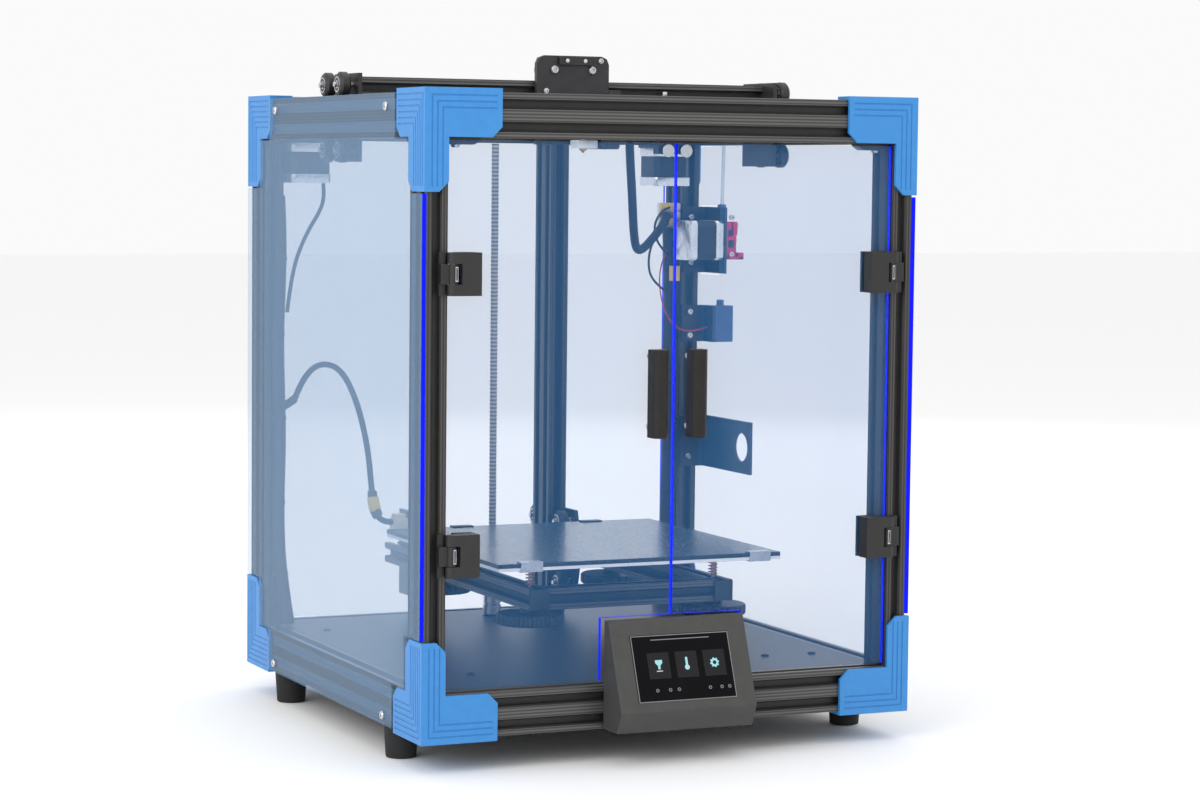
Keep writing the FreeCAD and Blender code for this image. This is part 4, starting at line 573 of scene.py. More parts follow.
# ---------------------------------------------------------------- camera, light and floor
def set_stage():
    """Pale floor, soft studio light and the camera."""
    just_under = -0.0002
    bpy.ops.mesh.primitive_plane_add(size=30, location=(0, 0, just_under))
    floor = bpy.context.object
    floor.name = "floor"
    floor.data.materials.append(shader("pale_floor", (0.955, 0.955, 0.955), 0.8)[0])
    world = bpy.data.worlds.new("studio")
    world.use_nodes = True
    sky = world.node_tree.nodes["Background"]
    sky.inputs["Color"].default_value = (1, 1, 1, 1)
    sky.inputs["Strength"].default_value = 0.96
    scene.world = world
    lamps = (
        ("key", (-2.6, -1.6, 1.9), 2.2, 38),
        ("front", (0.8, -3.2, 1.4), 2.0, 3),
        ("top", (0.2, 0.2, 2.6), 2.4, 14),
        ("back", (1.6, 2.8, 1.5), 2.0, 8),
    )
    for name, spot, across, watts in lamps:
        data = bpy.data.lights.new(name, "AREA")
        data.energy = watts
        data.size = across
        lamp = bpy.data.objects.new(name, data)
        lamp.location = spot
        aim = Vector((0, 0, 0.3)) - Vector(spot)
        lamp.rotation_euler = aim.to_track_quat("-Z", "Y").to_euler()
        scene.collection.objects.link(lamp)
    stand = (-1.203, -2.714, 0.534)
    yaw, pitch, roll = (math.radians(angle) for angle in (24.54, 4.34, 0.62))
    aim = Matrix.Rotation(-yaw, 4, "Z") @ Matrix.Rotation(math.pi / 2 - pitch, 4, "X")
    camera = bpy.data.objects.new("camera", bpy.data.cameras.new("camera"))
    camera.data.lens = 91.1
    camera.data.sensor_width = 36
    camera.data.clip_end = 60
    camera.matrix_world = Matrix.Translation(stand) @ aim @ Matrix.Rotation(roll, 4, "Z")
    scene.collection.objects.link(camera)
    scene.camera = camera
    scene.view_settings.view_transform = "Standard"
    scene.cycles.transparent_max_bounces = 32


set_stage()


# ---------------------------------------------------------------- frame, sheets, doors and wheels
# CAD nodes that keep their own mesh and only get a look.
CAD_LOOKS = {
    "base_plates": "floor_sheet",
    "mains_inlet": "black_plastic",
    "frame_belts": "belt",
}
for node, look in CAD_LOOKS.items():
    nodes[node].data.materials.clear()
    nodes[node].data.materials.append(LOOKS[look])


def sheets():
    """Acrylic sheets whose cut edges at their outlines glow with a painted highlight, and plain ones in their
    openings.
    """
    low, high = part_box("side_panels")

    def side(centre, normal):
        # The left panel's faces take the paler copy with painted glare; the right panel's take the clear
        # sheet.
        if abs(normal.x) > 0.5:
            return 0 if centre.x < 0 else 1
        return 2 if centre.y < low[1] + 0.001 else 1

    refined("side_panels", 0.0003, ["side_sheet", "clear_sheet", "sheet_edge"], side, 1)
    for node in ("rear_panel", "left_door_panel", "right_door_panel"):
        low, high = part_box(node)

        def across(centre, normal, low=low, high=high, node=node):
            if abs(normal.y) > 0.5:
                return 0
            at_side = min(centre.x - low[0], high[0] - centre.x) < 0.001
            in_notch = node != "rear_panel" and low[2] + 0.001 < centre.z < 0.2
            return 1 if at_side or in_notch else 0

        face = "rear_sheet" if node == "rear_panel" else "clear_sheet"
        refined(node, 0.0003, [face, "sheet_edge"], across, 1)


def frame_finish():
    """Slotted bars, covers, brackets and screws."""
    # The level bars, the bed frame and the beam take the lighter copy of the anodising, which is painted
    # light.
    for node, look in (
        ("corner_posts", "upright_bar"), ("lift_posts", "upright_bar"), ("frame_bars", "level_bar"),
        ("bed_frame", "level_bar"), ("cross_beam", "level_bar"),
    ):
        boxes = sum(bed_bars(), []) if node == "bed_frame" else islands(node)
        # Slot faces take the near-black of painted shade.
        refined(node, 0.0002, [look, "slot_black"], outer_faces(boxes), 1)
    refined("corner_covers", 0.0009, ["cover_blue"])
    refined("feet", 0.0012, ["rubber"], segments=3)
    refined("frame_screws", 0.0003, ["zinc"])
    refined("sheet_brackets", 0.0004, ["black_sheet"])
    refined("belt_pulleys", 0.0003, ["aluminium"])
    refined("gantry_pulleys", 0.0003, ["aluminium"])
    supply = by_solid("electronics", lambda low, high: 0 if low.x < 0 else 1)
    refined("electronics", 0.0008, ["aluminium", "board_green"], supply)
    heads = Builder()
    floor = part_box("base_plates")[1][2]
    head = [(0, 0), (0.0038, 0), (0.0034, 0.0016), (0.0018, 0.0022), (0, 0.0022)]
    for x, y in ((0.145, -0.15), (0.194, -0.153), (-0.16, -0.15), (-0.194, 0.15), (0.194, 0.15), (0, -0.19)):
        heads.turned(head, "black_plastic", Matrix.Translation((x, y, floor)))
    heads.finish("floor_screws", "frame")


def doors():
    """Handles, hinges and the discs of the catch."""
    pins = by_solid("hinge_brackets", lambda low, high: 1 if high.x - low.x < 0.005 else 0)
    refined("hinge_brackets", 0.0005, ["hinge_grey", "steel"], pins)
    hinge_x = 0.2187
    for side, sign in (("left", -1), ("right", 1)):
        parts = by_solid(f"{side}_door_handle", lambda low, high: 1 if high.y - low.y < 0.002 else 0)
        refined(f"{side}_door_handle", 0.0008, ["handle_black", "clip_metal"], parts)
        refined(f"{side}_door_hinges", 0.0009, ["hinge_grey"], segments=3)
        slots = Builder()
        x = sign * hinge_x
        clamps = [box for box in islands(f"{side}_door_hinges") if box[1].y - box[0].y >= 0.005]
        for low, high in clamps:
            z = (low.z + high.z) / 2
            # Each clamp gets a raised steel strip on the eye with a near-black strip on it: painted shade for
            # the gap of the hinge's slot.
            for half_x, half_z, front, back, look, bevel in (
                (0.0013, 0.0065, 0.0001, 0.0018, "steel", 0.0002),
                (0.0007, 0.0055, 0.00015, 0, "slot_black", 0),
            ):
                start = (x - half_x, low.y - front, z - half_z)
                slots.box(start, (x + half_x, low.y + back, z + half_z), look, bevel)
        slots.finish(f"{side}_hinge_slots", "frame")
        nuts = Builder()
        dome = [(0, 0), (0.0033, 0), (0.0033, 0.0035), (0.0026, 0.0058), (0.0013, 0.0068), (0, 0.007)]
        for low, high in islands(f"{side}_door_handle"):
            if 0.002 <= high.y - low.y <= 0.004:
                middle = (low + high) / 2
                nuts.turned(dome, "zinc", facing((0, 1, 0), (middle.x, high.y, middle.z)), 24)
        nuts.finish(f"{side}_handle_nuts", f"{side}_door")


def wheels():
    """Grooved wheels with the rings of their ball bearings."""
    for node in [name for name in nodes if "wheel" in name]:
        refined(node, 0.0004, ["black_plastic"])
        rings = Builder()
        for low, high in islands(node):
            size = high - low
            thin = min(range(3), key=lambda i: size[i])
            axis = Vector([float(i == thin) for i in range(3)])
            half = size[thin] / 2 + 0.0002
            place = facing(axis, (low + high) / 2)
            # The recessed middle ring between the steel races is drawn in the near-black of painted shade.
            for inner, outer, look, reach in (
                (0.0026, 0.0038, "steel", half), (0.0038, 0.0062, "slot_black", half - 0.00015),
                (0.0062, 0.0075, "steel", half),
            ):
                rings.turned(ring(inner, outer, -reach, reach), look, place)
        rings.finish(f"{node}_bearings", nodes[node]["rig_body"])
    for node in [name for name in nodes if "knob" in name]:
        refined(node, 0.0012, ["black_plastic"], segments=3)


# ---------------------------------------------------------------- lift and bed
def threaded(builder, radius, depth, pitch, start, end, look, place, steps=24):
    """Add a rod with ridges one pitch apart."""
    profile = [(0, start)]
    height = start
    while height + pitch < end:
        profile += [(radius - depth, height), (radius - depth, height + 0.35 * pitch)]
        profile += [(radius, height + 0.5 * pitch), (radius, height + 0.85 * pitch)]
        height += pitch
    profile += [(radius - depth, end), (0, end)]
    builder.turned(profile, look, place, steps)


def lift():
    """Lead screw with its thread and clamp, and the carriage."""
    low, high = (Vector(corner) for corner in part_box("lead_screw"))
    middle = (low + high) / 2
    axis = Matrix.Translation((middle.x, middle.y, 0))
    screw = Builder()
    foot, top = low.z, low.z + 0.022
    threaded(screw, 0.004, 0.0006, 0.002, top, high.z, "bright_screw", axis)
    edge, inner = 0.0095, 0.0085
    screw.turned(
        [(0, foot), (inner, foot), (edge, foot + 0.001), (edge, foot + 0.010), (inner, foot + 0.0105),
         (inner, foot + 0.0115), (edge, foot + 0.012), (edge, top - 0.001), (inner, top), (0, top)],
        "aluminium", axis,
    )
    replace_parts(screw.finish("threaded_lead_screw", "lead_screw"), "lead_screw")

    def bolts(low, high):
        return 1 if high.z - low.z < 0.0095 and high.x - low.x > 0.015 else 0

    choose = by_solid("lift_carriage", bolts)
    refined("lift_carriage", 0.0005, ["black_sheet", "steel"], choose)


def bed():
    """Glass, heated plate, clips, bar ends, springs and levelling screws."""
    def edges(_, normal):
        return 0 if normal.z > 0.5 else 1

    refined("glass_plate", 0.0004, ["bed_glass", "bed_glass_edge"], edges)
    refined("heated_bed", 0.0003, ["bright_plate"], segments=1)
    front = by_solid("bed_clips", lambda low, high: 0 if low.y < 0 else 1)
    refined("bed_clips", 0.0003, ["clip_metal", "black_plastic"], front)
    ends = Builder()
    inset, thick = 0.0004, 0.0022
    for low, high in bed_bars()[0]:
        corner = (high.x - inset, low.y, high.z - inset)
        ends.box((low.x + inset, low.y - thick, low.z + inset), corner, "black_plastic", 0.0007)
    ends.finish("bar_ends", "bed")
    screws = Builder()
    for low, high in islands("levelling_screws"):
        middle = (low + high) / 2
        place = Matrix.Translation((middle.x, middle.y, 0))
        radius = (high.x - low.x) / 2
        if high.z - low.z > 0.03:
            threaded(screws, radius, 0.0003, 0.0008, low.z, high.z, "steel", place, 16)
            continue
        wire, turns, steps = 0.0007, 6.5, 20
        path = []
        for step in range(int(turns * steps) + 1):
            angle = 2 * math.pi * step / steps
            height = low.z + wire + (high.z - low.z - 2 * wire) * step / (turns * steps)
            offset = Vector((math.cos(angle), math.sin(angle), 0)) * (radius - wire)
            path.append(Vector((middle.x, middle.y, height)) + offset)
        screws.tube(path, wire, "copper", 10)
    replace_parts(screws.finish("springs_and_screws", "bed"), "levelling_screws")


# ---------------------------------------------------------------- motors and feeder
def chamfered(half, cut):
    """Return a square outline with cut corners."""
    reach = half - cut
    return [
        (half, -reach), (half, reach), (reach, half), (-reach, half),
        (-half, reach), (-half, -reach), (-reach, -half), (reach, -half),
    ]


def stepper(builder, axis, foot, length, shaft, stack):
    """Add a stepper motor: bright end caps, a dark laminated middle and its shaft."""
    place = facing(axis, foot)
    cap = 0.009
    builder.prism(chamfered(0.0209, 0.003), 0, cap, "aluminium", 0.0004, place)
    builder.prism(chamfered(0.0206, 0.0055), cap, length - cap, stack, 0, place)
    builder.prism(chamfered(0.0209, 0.003), length - cap, length, "aluminium", 0.0004, place)
    screw = [(0, 0.001), (0.0024, 0.001), (0.0024, -0.0002), (0.0016, -0.0002), (0.0012, 0.0004), (0, 0.0004)]
    for x in (-0.0155, 0.0155):
        for y in (-0.0155, 0.0155):
            builder.turned(screw, "steel", place @ Matrix.Translation((x, y, 0)), 20)
    tip = length + shaft
    rod = [(0, length), (0.0025, length), (0.0025, tip - 0.0004), (0.0021, tip), (0, tip)]
    builder.turned(rod, "steel", place)


def motors():
    """The motors of the two belts, the lift and the feeder."""
    pieces = Builder()
    body, stub = 0.040, 0.001
    for low, high in islands("stepper_motors"):
        middle, size = (low + high) / 2, high - low
        foot = (middle.x, middle.y, low.z)
        if size.x > 0.05:
            stepper(pieces, (1, 0, 0), (low.x, middle.y, middle.z), body, size.x - body, "motor_stack_level")
        elif size.z > 0.05:
            stepper(pieces, (0, 0, 1), foot, body, size.z - body, "motor_stack")
            collar = ring(0.0027, 0.0045, -0.003, 0)
            pieces.turned(collar, "aluminium", Matrix.Translation((middle.x, middle.y, high.z)))
        else:
            stepper(pieces, (0, 0, 1), foot, size.z - stub, stub, "motor_stack")
    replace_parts(pieces.finish("motors", "frame"), "stepper_motors")


def bracket_bolts():
    """Socket screws with black washers that hold the sheet brackets to the right rear post."""
    bolts = Builder()
    post_middle = 0.2315
    front = islands("sheet_brackets")[-1][1].y - 0.003
    for z in (0.485, 0.437, 0.384, 0.359, 0.262, 0.229):
        place = facing((0, -1, 0), (post_middle, front, z))
        bolts.bolt(place, 0.0045, 0.0009, 0.0031, 0.0040, 0.0015, 0.0022, 28)
    bolts.finish("bracket_bolts", "frame")


def feeder():
    """Filament feeder and sensor on the right rear post."""
    refined("feeder_body", 0.0009, ["red_anodised"])
    refined("feeder_lever", 0.0008, ["red_anodised"])
    outer, _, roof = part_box("feeder_body")[1]
    low, high = islands("feeder_body")[0]
    y_middle, z_middle = (low.y + high.y) / 2, low.z + 0.020
    parts = Builder()
    for y, z in ((-0.0155, -0.0155), (-0.0155, 0.0155), (0.0125, 0.0235)):
        place = facing((1, 0, 0), (outer, y_middle + y, z_middle + z))
        parts.bolt(place, 0.0042, 0.0008, 0.0028, 0.0038, 0.0014, 0.002)
    gear = [
        (0.0027, 0.0002), (0.0056, 0.0002), (0.0056, 0.003), (0.0048, 0.004),
        (0.0056, 0.005), (0.0056, 0.008), (0.0027, 0.008), (0.0027, 0.0002),
    ]
    parts.turned(gear, "brass", facing((1, 0, 0), (outer, y_middle, z_middle)))
    fitting = [
        (0, -0.001), (0.0052, -0.001), (0.0052, 0.005), (0.0045, 0.006),
        (0.0021, 0.006), (0.0021, 0.001), (0, 0.001),
    ]
    parts.turned(fitting, "sensor_blue", Matrix.Translation((*FEED_TUBE_REAR[0][:2], roof)), 6)
    screw = [(0, 0), (0.0028, 0), (0.0028, 0.0022), (0.0014, 0.0024), (0.0014, 0.0010), (0, 0.0010)]
    for z in (low.z + 0.0055, high.z - 0.0075):
        parts.turned(screw, "zinc", facing((0, -1, 0), (0.259, low.y, z)), 24)
    # The first two boxes are near-black slits of painted shade on the feeder's face.
    for left, right, proud, deep, foot, top, look, bevel in (
        (0.2555, 0.2625, 0.0003, 0.001, 0.0125, 0.0205, "slot_black", 0),
        (0.2555, 0.2600, 0.0003, 0.001, 0.0245, 0.0315, "slot_black", 0),
        (0.2600, 0.2655, 0.0022, 0, 0.0255, 0.0395, "red_anodised", 0.0006),
        (0.2545, 0.2725, 0.0035, 0.010, 0, 0.0032, "red_anodised", 0.0008),
        (0.2655, 0.2725, 0.0035, 0.008, 0, 0.0075, "red_anodised", 0.0008),
    ):
        parts.box((left, low.y - proud, low.z + foot), (right, low.y + deep, low.z + top), look, bevel)
    parts.finish("feeder_fittings", "frame")
    refined("filament_sensor", 0.0010, ["sensor_blue"])
    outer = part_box("filament_sensor")[1][0]
    marks = Builder()
    screw = [(0, -0.0004), (0.0015, -0.0004), (0.0013, 0.0005), (0, 0.0007)]
    for z in (0.358, 0.385):
        for y in (0.186, 0.197):
            marks.turned(screw, "steel", facing((1, 0, 0), (outer, y, z)), 20)
    marks.box((outer - 0.001, 0.1885, 0.366), (outer + 0.0008, 0.1945, 0.376), "white_plastic", 0.0004)
    marks.finish("sensor_screws", "frame")


# ---------------------------------------------------------------- gantry and head
def gantry():
    """End plates with steel bolts, and the brackets of the pulleys."""

    def bolts(low, high):
        return 1 if high.y - low.y < 0.0055 and high.z - low.z < 0.0055 else 0

    nut = Builder()
    nut.box((0.1055, 0.0102, 0.6070), (0.1105, 0.0120, 0.6120), "zinc", 0.0006)
    nut.finish("beam_nut", "gantry")
    choose = by_solid("gantry_plates", bolts)
    refined("gantry_plates", 0.0004, ["black_sheet", "steel"], choose)


def print_head():
    """Carriage plate, finned hot end and the two fans."""

    def kind(low, high):
        if high.x - low.x < 0.0095:
            return 1
        return 2 if high.z - low.z < 0.0095 else 0

    looks = ["black_sheet", "steel", "black_plastic"]
    refined("head_plate", 0.0004, looks, by_solid("head_plate", kind))
    trim = Builder()
    small = [(0, 0), (0.0022, 0), (0.0020, 0.0010), (0.0012, 0.0013), (0, 0.0010)]
    for x in (-0.003, 0.016):
        trim.turned(small, "zinc", facing((0, -1, 0), (x, -0.001, 0.6395)), 24)
    large = [(0, 0), (0.0029, 0), (0.0027, 0.0022), (0.0014, 0.0024), (0.0014, 0.0012), (0, 0.0012)]
    for x, z in ((-0.024, 0.566), (0.034, 0.5925), (-0.024, 0.610), (0.034, 0.640)):
        trim.turned(large, "steel", facing((0, -1, 0), (x, 0.003, z)), 24)
    trim.finish("plate_screws", "head")
    hot_end()
    fans()


def hot_end():
    """Fitting, finned heat sink, heater block with its leads, nozzle and mount."""
    low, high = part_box("hot_end")
    x, y = FEED_TUBE_FRONT[-1][:2]
    tip, top = low[2], high[2]
    hot = Builder()
    axis = Matrix.Translation((x, y, 0))
    neck, core, fin, thick, pitch = 0.0022, 0.0045, 0.0112, 0.0010, 0.0024
    height = tip + 0.0155
    profile = [(0, tip + 0.012), (neck, tip + 0.012), (neck, height)]
    while height + 0.0022 < top - 0.001:
        profile += [(core, height), (fin, height), (fin, height + thick), (core, height + thick)]
        height += pitch
    profile += [(core, top), (0, top)]
    hot.turned(profile, "aluminium", axis, 40)
    start, end = (x - 0.009, y - 0.0095, tip + 0.0045), (x + 0.0115, y + 0.0105, tip + 0.0125)
    hot.box(start, end, "bright_plate", 0.0006)
    cone, nut = tip + 0.0026, tip + 0.0046
    nozzle = [(0, tip), (0.0006, tip), (0.0028, cone), (0.0036, cone), (0.0036, nut), (0, nut)]
    hot.turned(nozzle, "brass", axis, 24)
    for start, end, look in ((0.004, 0.003, "wire_red"), (0.007, 0.006, "wire_black")):
        lead = [(start, 0.0105, 0.0085), (start, 0.014, 0.010), (end, 0.017, 0.020)]
        hot.tube([Vector((x + a, y + b, tip + c)) for a, b, c in lead], 0.0010, look)
    start = (low[0] + 0.001, y + 0.0075, tip + 0.018)
    hot.box(start, (high[0] - 0.001, high[1], top - 0.001), "black_plastic", 0.0008)
    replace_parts(hot.finish("finned_hot_end", "head"), "hot_end")


def fans():
    """The two fans: a holed front on a closed back, a hub and seven blades."""
    pair = Builder()
    blades = 7
    for low, high in islands("head_fans"):
        size = high - low
        middle = (low + high) / 2
        thin = 1 if size.y < size.x else 0
        front = (0, -1, 0) if thin else (1, 0, 0)
        deep = size.y if thin else size.x
        wide = size.x if thin else size.y
        turn = facing(front, middle - Vector(front) * deep / 2)
        half_x, half_y = (wide / 2, size.z / 2) if thin else (size.z / 2, wide / 2)
        radius = min(half_x, half_y) - 0.0009
        back, top = deep * 0.35, deep - 0.0009
        pair.holed(half_x, half_y, radius, back, deep, "black_plastic", turn)
        pair.box((-half_x, -half_y, 0), (half_x, half_y, back), "black_plastic", 0.0005, turn)
        hub = [(0, back), (0.0042, back), (0.0042, deep - 0.0014), (0.0036, top), (0, top)]
        pair.turned(hub, "black_plastic", turn)
        for blade in range(blades):
            place = turn @ Matrix.Rotation(2 * math.pi * blade / blades, 4, "Z")
            place = place @ Matrix.Translation((0.0065, 0, deep * 0.68)) @ Matrix.Rotation(0.65, 4, "X")
            reach = radius - 0.0075
            pair.box((-0.003, -0.0025, -0.0003), (reach, 0.0025, 0.0003), "black_plastic", 0, place)
    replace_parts(pair.finish("fans", "head"), "head_fans")


# ---------------------------------------------------------------- screen
def screen():
    """Sloping housing and the lit display with three generic tiles and a row of symbols."""
    refined("screen_housing", 0.0009, ["housing_grey"], segments=3)
    refined("touch_screen", 0.0004, ["display_black"])
    mesh = nodes["touch_screen"].data
    fronts = [item for item in mesh.polygons if item.normal.y < -0.8]
    out = Vector(max(fronts, key=lambda item: item.area).normal)
    up = Vector((1, 0, 0)).cross(out) * -1
    points = [mesh.vertices[index].co for item in fronts for index in item.vertices]
    left, right = min(point.x for point in points), max(point.x for point in points)
    foot = min(points, key=lambda point: point.z)
    height = (max(points, key=lambda point: point.z) - foot).dot(up)
    width = right - left
    place = Matrix((Vector((1, 0, 0)), up, out)).transposed().to_4x4()
    place.translation = Vector((left, foot.y, foot.z))
    panel = Builder()

    def flat(outline, level, look):
        panel.prism(outline, 0.0, 0.00008 * level, look, 0, place)

    rim = 0.0008
    for y in (rim / 2, height - rim / 2):
        flat(rectangle(width / 2, y, width / 2, rim / 2), 1, "icon_grey")
    for x in (rim / 2, width - rim / 2):
        flat(rectangle(x, height / 2, rim / 2, height / 2), 1, "icon_grey")
    row = height * 0.54
    left_tile, middle_tile, right_tile = (width * share for share in (0.25, 0.535, 0.82))
    for x in (left_tile, middle_tile, right_tile):
        flat(rectangle(x, row, 0.0108, 0.0120), 1, "tile")
    x = left_tile
    unit, lift_up = 0.0007, 0.001
    funnel = [(-5, 6), (5, 6), (5, 2), (1.6, -1.5), (1.6, -6), (-1.6, -6), (-1.6, -1.5), (-5, 2)]
    flat([(x + a * unit, row + lift_up + b * unit) for a, b in reversed(funnel)], 3, "icon_cyan")
    flat(rectangle(x, row - 0.0050, 0.0030, 0.0004), 3, "icon_white")
    x = middle_tile
    flat(rectangle(x, row + 0.0020, 0.0011, 0.0036), 3, "icon_cyan")
    flat(circle(x, row + 0.0056, 0.0011), 3, "icon_cyan")
    flat(circle(x, row - 0.0028, 0.0024), 3, "icon_cyan")
    flat(circle(x, row - 0.0028, 0.0012), 4, "icon_white")
    x = right_tile
    gear, corners = [], 32
    for step in range(corners):
        radius = 0.0046 if step % 4 in (0, 1) else 0.0036
        angle = 2 * math.pi * (step + 0.5) / corners
        gear.append((x + radius * math.cos(angle), row + radius * math.sin(angle)))
    flat(gear, 3, "icon_cyan")
    flat(circle(x, row, 0.0018), 4, "tile")
    for share in (0.20, 0.33, 0.42, 0.74, 0.86, 0.94):
        x = width * share
        flat(circle(x, height * 0.17, 0.0016), 2, "icon_grey")
        flat(circle(x, height * 0.17, 0.0009, 16), 3, "tile")
    flat(rectangle(width / 2, height * 0.93, width * 0.30, 0.0004), 2, "icon_grey")
    panel.finish("display_symbols", "frame")


# ---------------------------------------------------------------- belts
def strip(name, low, high, start, end, node):
    """A belt run between two bodies, built of short boxes and put on no body; start and end, where each one
    holds it, are not used.
    """
    run = Builder()
    along = 1 if high[1] - low[1] > high[0] - low[0] else 0
    count = 24
    for step in range(count):
        a, b = list(low), list(high)
        span = high[along] - low[along]
        a[along] = low[along] + span * step / count
        b[along] = low[along] + span * (step + 1) / count
        run.box(a, b, "belt", 0)
    piece = run.finish(name, None)
    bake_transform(piece)
    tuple(start)
    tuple(end)
    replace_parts(piece, node)


def belts():
    """The runs between the frame, the gantry and the head."""
    for node, name, axis, near, far in (
        ("side_belts", "side_belt", 1, "frame", "gantry"), ("beam_belts", "beam_belt", 0, "gantry", "head"),
    ):
        for index, (low, high) in enumerate(islands(node)):
            start, end = low.copy(), low.copy()
            moved = end if low[axis] < 0 else start
            moved[axis] = high[axis]
            strip(f"{name}_{index + 1}", low, high, start, end, node)


# ---------------------------------------------------------------- cords
BED_CABLE = [
    (-0.212, 0.200, 0.300), (-0.206, 0.192, 0.322), (-0.192, 0.180, 0.338), (-0.173, 0.170, 0.332),
    (-0.159, 0.160, 0.298), (-0.152, 0.148, 0.252), (-0.152, 0.138, 0.214), (-0.151, 0.130, 0.190),
    (-0.144, 0.126, 0.180), (-0.134, 0.126, 0.180),
]
HEAD_CABLE_REAR = [
    (0.204, 0.2006, 0.487), (0.197, 0.193, 0.478), (0.182, 0.187, 0.464), (0.166, 0.178, 0.452),
    (0.152, 0.166, 0.450), (0.142, 0.152, 0.468), (0.134, 0.140, 0.510), (0.126, 0.130, 0.554),
    (0.117, 0.112, 0.585), (0.106, 0.084, 0.599), (0.099, 0.066, 0.6015), (0.092, 0.052, 0.602),
]
HEAD_CABLE_FRONT = [
    (0.086, 0.0434, 0.599), (0.0745, 0.0404, 0.603), (0.060, 0.0385, 0.6055), (0.044, 0.038, 0.6065),
    (0.027, 0.0385, 0.606), (0.010, 0.0395, 0.604),
]
FEED_TUBE_REAR = [
    (0.2585, 0.180, 0.493), (0.259, 0.179, 0.530), (0.259, 0.178, 0.566), (0.256, 0.175, 0.596),
    (0.240, 0.166, 0.612), (0.212, 0.146, 0.613), (0.182, 0.118, 0.606), (0.148, 0.082, 0.598),
    (0.112, 0.048, 0.594),
]
FEED_TUBE_FRONT = [
    (0.109, 0.045, 0.594), (0.088, 0.032, 0.592), (0.066, 0.012, 0.590), (0.046, -0.008, 0.594),
    (0.030, -0.016, 0.600), (0.014, -0.020, 0.603), (0.006, -0.020, 0.600), (0.006, -0.020, 0.5922),
]
SOCKET_WIRES = [
    [(0.2085, 0.204, 0.495), (0.198, 0.199, 0.493), (0.186, 0.196, 0.478), (0.19, 0.198, 0.46),
     (0.202, 0.201, 0.448), (0.2085, 0.203, 0.44)],
    [(0.207, 0.204, 0.478), (0.199, 0.2, 0.474), (0.182, 0.195, 0.456), (0.179, 0.195, 0.43),
     (0.19, 0.199, 0.414), (0.206, 0.203, 0.405)],
]
SENSOR_WIRE = [
    (0.205, 0.203, 0.45), (0.196, 0.199, 0.435), (0.193, 0.196, 0.41), (0.2, 0.195, 0.382),
    (0.215, 0.195, 0.366), (0.232, 0.194, 0.362), (0.249, 0.192, 0.368),
]
LEFT_BUNDLE = [
    (-0.230, 0.197, 0.505), (-0.228, 0.1965, 0.462), (-0.229, 0.1975, 0.412), (-0.231, 0.197, 0.360),
    (-0.2295, 0.1965, 0.306), (-0.228, 0.1975, 0.252), (-0.230, 0.197, 0.198), (-0.229, 0.1965, 0.144),
    (-0.224, 0.196, 0.104), (-0.219, 0.196, 0.072),
]
RIGHT_BUNDLE = [
    (0.211, 0.209, 0.473), (0.213, 0.209, 0.440), (0.2145, 0.210, 0.396), (0.213, 0.2095, 0.346),
    (0.214, 0.209, 0.294), (0.2145, 0.210, 0.240), (0.213, 0.2095, 0.186), (0.212, 0.209, 0.132),
    (0.208, 0.208, 0.098), (0.203, 0.207, 0.072),
]
MOTOR_LEAD = [
    (-0.186, 0.190, 0.5172), (-0.186, 0.186, 0.505), (-0.190, 0.187, 0.490), (-0.202, 0.190, 0.470),
    (-0.214, 0.192, 0.442), (-0.220, 0.193, 0.410), (-0.2232, 0.192, 0.388),
]


def centreline(name, route):
    """Return the points of the smooth line that a route's control points pull along."""
    curve = bpy.data.curves.new(name, "CURVE")
    curve.dimensions = "3D"
    curve.resolution_u = 12
    line = curve.splines.new("NURBS")
    line.points.add(len(route) - 1)
    for point, spot in zip(line.points, route):
        point.co = (*spot, 1)
    line.order_u = 3
    line.use_endpoint_u = True
    holder = bpy.data.objects.new(name, curve)
    scene.collection.objects.link(holder)
    mesh = bpy.data.meshes.new_from_object(holder.evaluated_get(bpy.context.evaluated_depsgraph_get()))
    points = [vertex.co.copy() for vertex in mesh.vertices]
    bpy.data.objects.remove(holder)
    bpy.data.curves.remove(curve)
    bpy.data.meshes.remove(mesh)
    return points


def lay_cord(name, route, diameter, look, node, bodies):
    """Lay a cord on its route. Between two bodies it is put on no body."""
    path = centreline(name, route)
    tube = Builder()
    tube.tube(path, diameter / 2, look, 20)
    cord = tube.finish(name, bodies[0] if len(bodies) == 1 else None, 60)
    if len(bodies) == 2:
        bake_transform(cord)
    length = sum((after - before).length for before, after in zip(path, path[1:]))
    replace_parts(cord, node)
    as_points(path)


def ties(name, route, radius, shares):
    """Cable ties around a bundle: a band and its head."""
    path = centreline(name, route)
    bands = Builder()
    half, outer = 0.0013, radius + 0.0007
    band = ring(radius, outer, -half, half)
    for share in shares:
        index = int(share * (len(path) - 1))
        place = facing((path[index + 1] - path[index - 1]).normalized(), path[index])
        bands.turned(band, "wire_black", place)
        bands.box((radius, -0.002, -0.002), (radius + 0.003, 0.002, 0.002), "wire_black", 0.0004, place)
    return bands.finish(name, "frame")


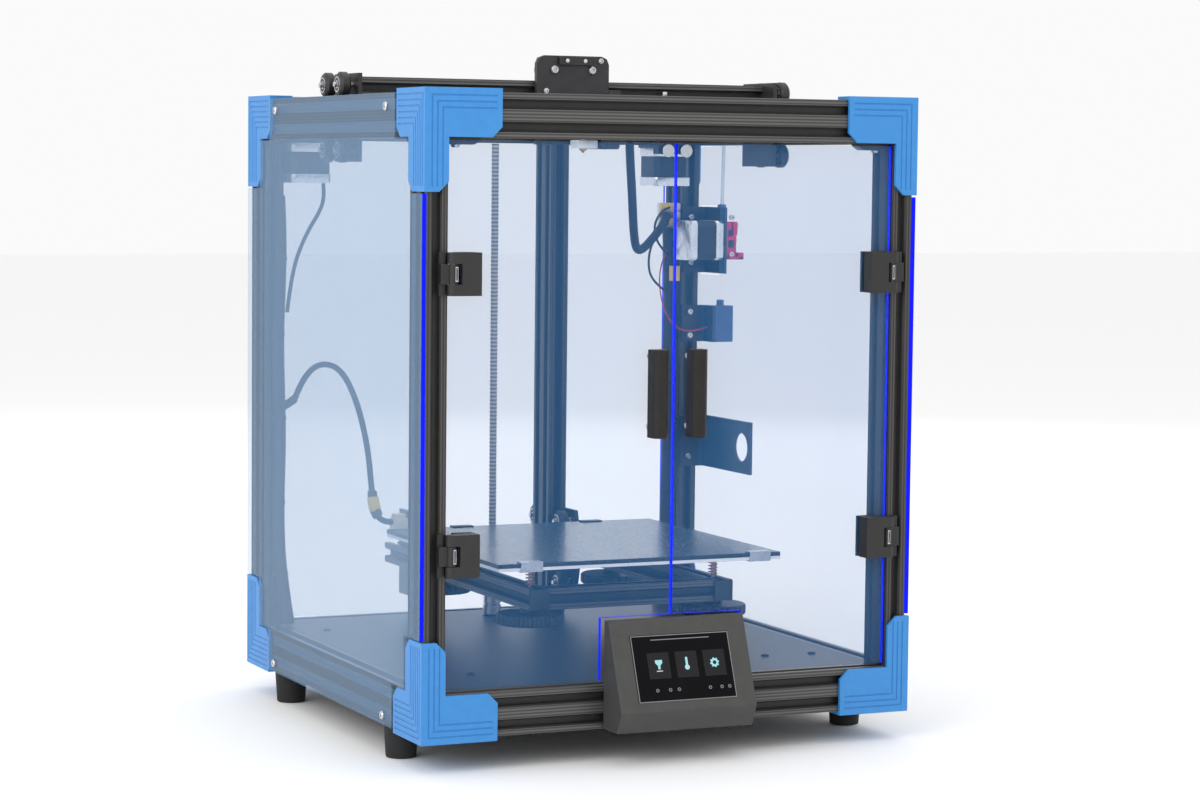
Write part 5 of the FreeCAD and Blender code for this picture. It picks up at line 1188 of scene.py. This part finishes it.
def cords():
    """Every cord, with its sockets, plugs and clips."""
    rear, front, still = ("frame", "gantry"), ("gantry", "head"), ("frame",)
    lay_cord("bed_cord", BED_CABLE, 0.006, "sleeve", "bed_cable", ("frame", "bed"))
    lay_cord("head_cable_rear", HEAD_CABLE_REAR, 0.009, "sleeve", "rear_lines", rear)
    lay_cord("head_cable_front", HEAD_CABLE_FRONT, 0.009, "sleeve", "head_lines", front)
    lay_cord("feed_tube_rear", FEED_TUBE_REAR, 0.004, "tube", "rear_lines", rear)
    lay_cord("feed_tube_front", FEED_TUBE_FRONT, 0.004, "tube", "head_lines", front)
    for side, route, radius, shares in (
        ("left", LEFT_BUNDLE, 0.006, (0.12, 0.3, 0.5, 0.7, 0.88)),
        ("right", RIGHT_BUNDLE, 0.008, (0.14, 0.32, 0.5, 0.68, 0.86)),
    ):
        held = [ties(f"{side}_ties", route, radius, shares)]
        lay_cord(f"{side}_bundle", route, 2 * radius, "sleeve", "harness", still)
    lay_cord("motor_lead", MOTOR_LEAD, 0.004, "wire_black", "harness", still)
    clip = Builder()
    grip = [Vector(spot) for spot in ((-0.2295, 0.1970, 0.2920), (-0.2220, 0.1980, 0.2940), BED_CABLE[0])]
    clip.tube(grip, 0.0042, "rubber")
    clip.finish("bed_cord_clip", "frame")
    for index, route in enumerate(SOCKET_WIRES):
        lay_cord(f"socket_wire_{index + 1}", route, 0.0024, "wire_black", "harness", still)
    lay_cord("sensor_wire", SENSOR_WIRE, 0.0014, "wire_red", "harness", still)
    cord_ends()


def cord_ends():
    """The bed cable's connector and plug, the collar on the beam and the block of sockets."""
    sleeve = Builder()
    tail = centreline("sleeve", BED_CABLE)
    loop_end = -0.16
    for low, high, radius, look, sides in (
        (0.190, 0.206, 0.0064, "yellow_plastic", 4), (0.204, 0.212, 0.0048, "black_plastic", 20),
        (0.185, 0.192, 0.0054, "black_plastic", 20),
    ):
        covered = [point for point in tail if low < point.z < high and point.x > loop_end]
        sleeve.tube(covered, radius, look, sides)
    sleeve.finish("bed_connector", "bed")
    plug = Builder()
    low, high = islands("bed_cable")[-1]
    plug.box(low, (high.x, high.y, high.z - 0.004), "cream", 0.0008)
    start = (low.x + 0.0015, low.y + 0.002, high.z - 0.004)
    plug.box(start, (high.x - 0.0015, high.y - 0.002, high.z), "cream", 0.0006)
    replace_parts(plug.finish("bed_plug", "bed"), "bed_cable")
    collar = Builder()
    joined = centreline("collar", HEAD_CABLE_REAR[-2:] + HEAD_CABLE_FRONT[:2])
    collar.tube(joined[4:-4], 0.0062, "rubber", 20)
    collar.finish("cable_collar", "gantry")
    low, high = islands("harness")[-1]
    sockets = Builder()
    sockets.box((low.x, low.y + 0.004, low.z), high, "white_plastic", 0.0006)
    share = (high.z - low.z) / 3
    for index, look in enumerate(("yellow_plastic", "connector_brown", "yellow_plastic")):
        foot = low.z + share * index + 0.0008
        back, top = low.y + 0.005, foot + share - 0.0016
        sockets.box((low.x + 0.001, low.y, foot), (high.x - 0.010, back, top), look, 0.0005)
        start = (high.x - 0.0085, low.y + 0.001, foot)
        sockets.box(start, (high.x - 0.001, back, top), "white_plastic", 0.0005)
    sockets.box((0.208, 0.1975, 0.417), (0.2185, 0.2030, 0.433), "yellow_plastic", 0.0006)
    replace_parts(sockets.finish("line_sockets", "frame"), "harness")


sheets()
frame_finish()
doors()
wheels()
lift()
bed()
motors()
bracket_bolts()
feeder()
gantry()
print_head()
screen()
belts()
cords()
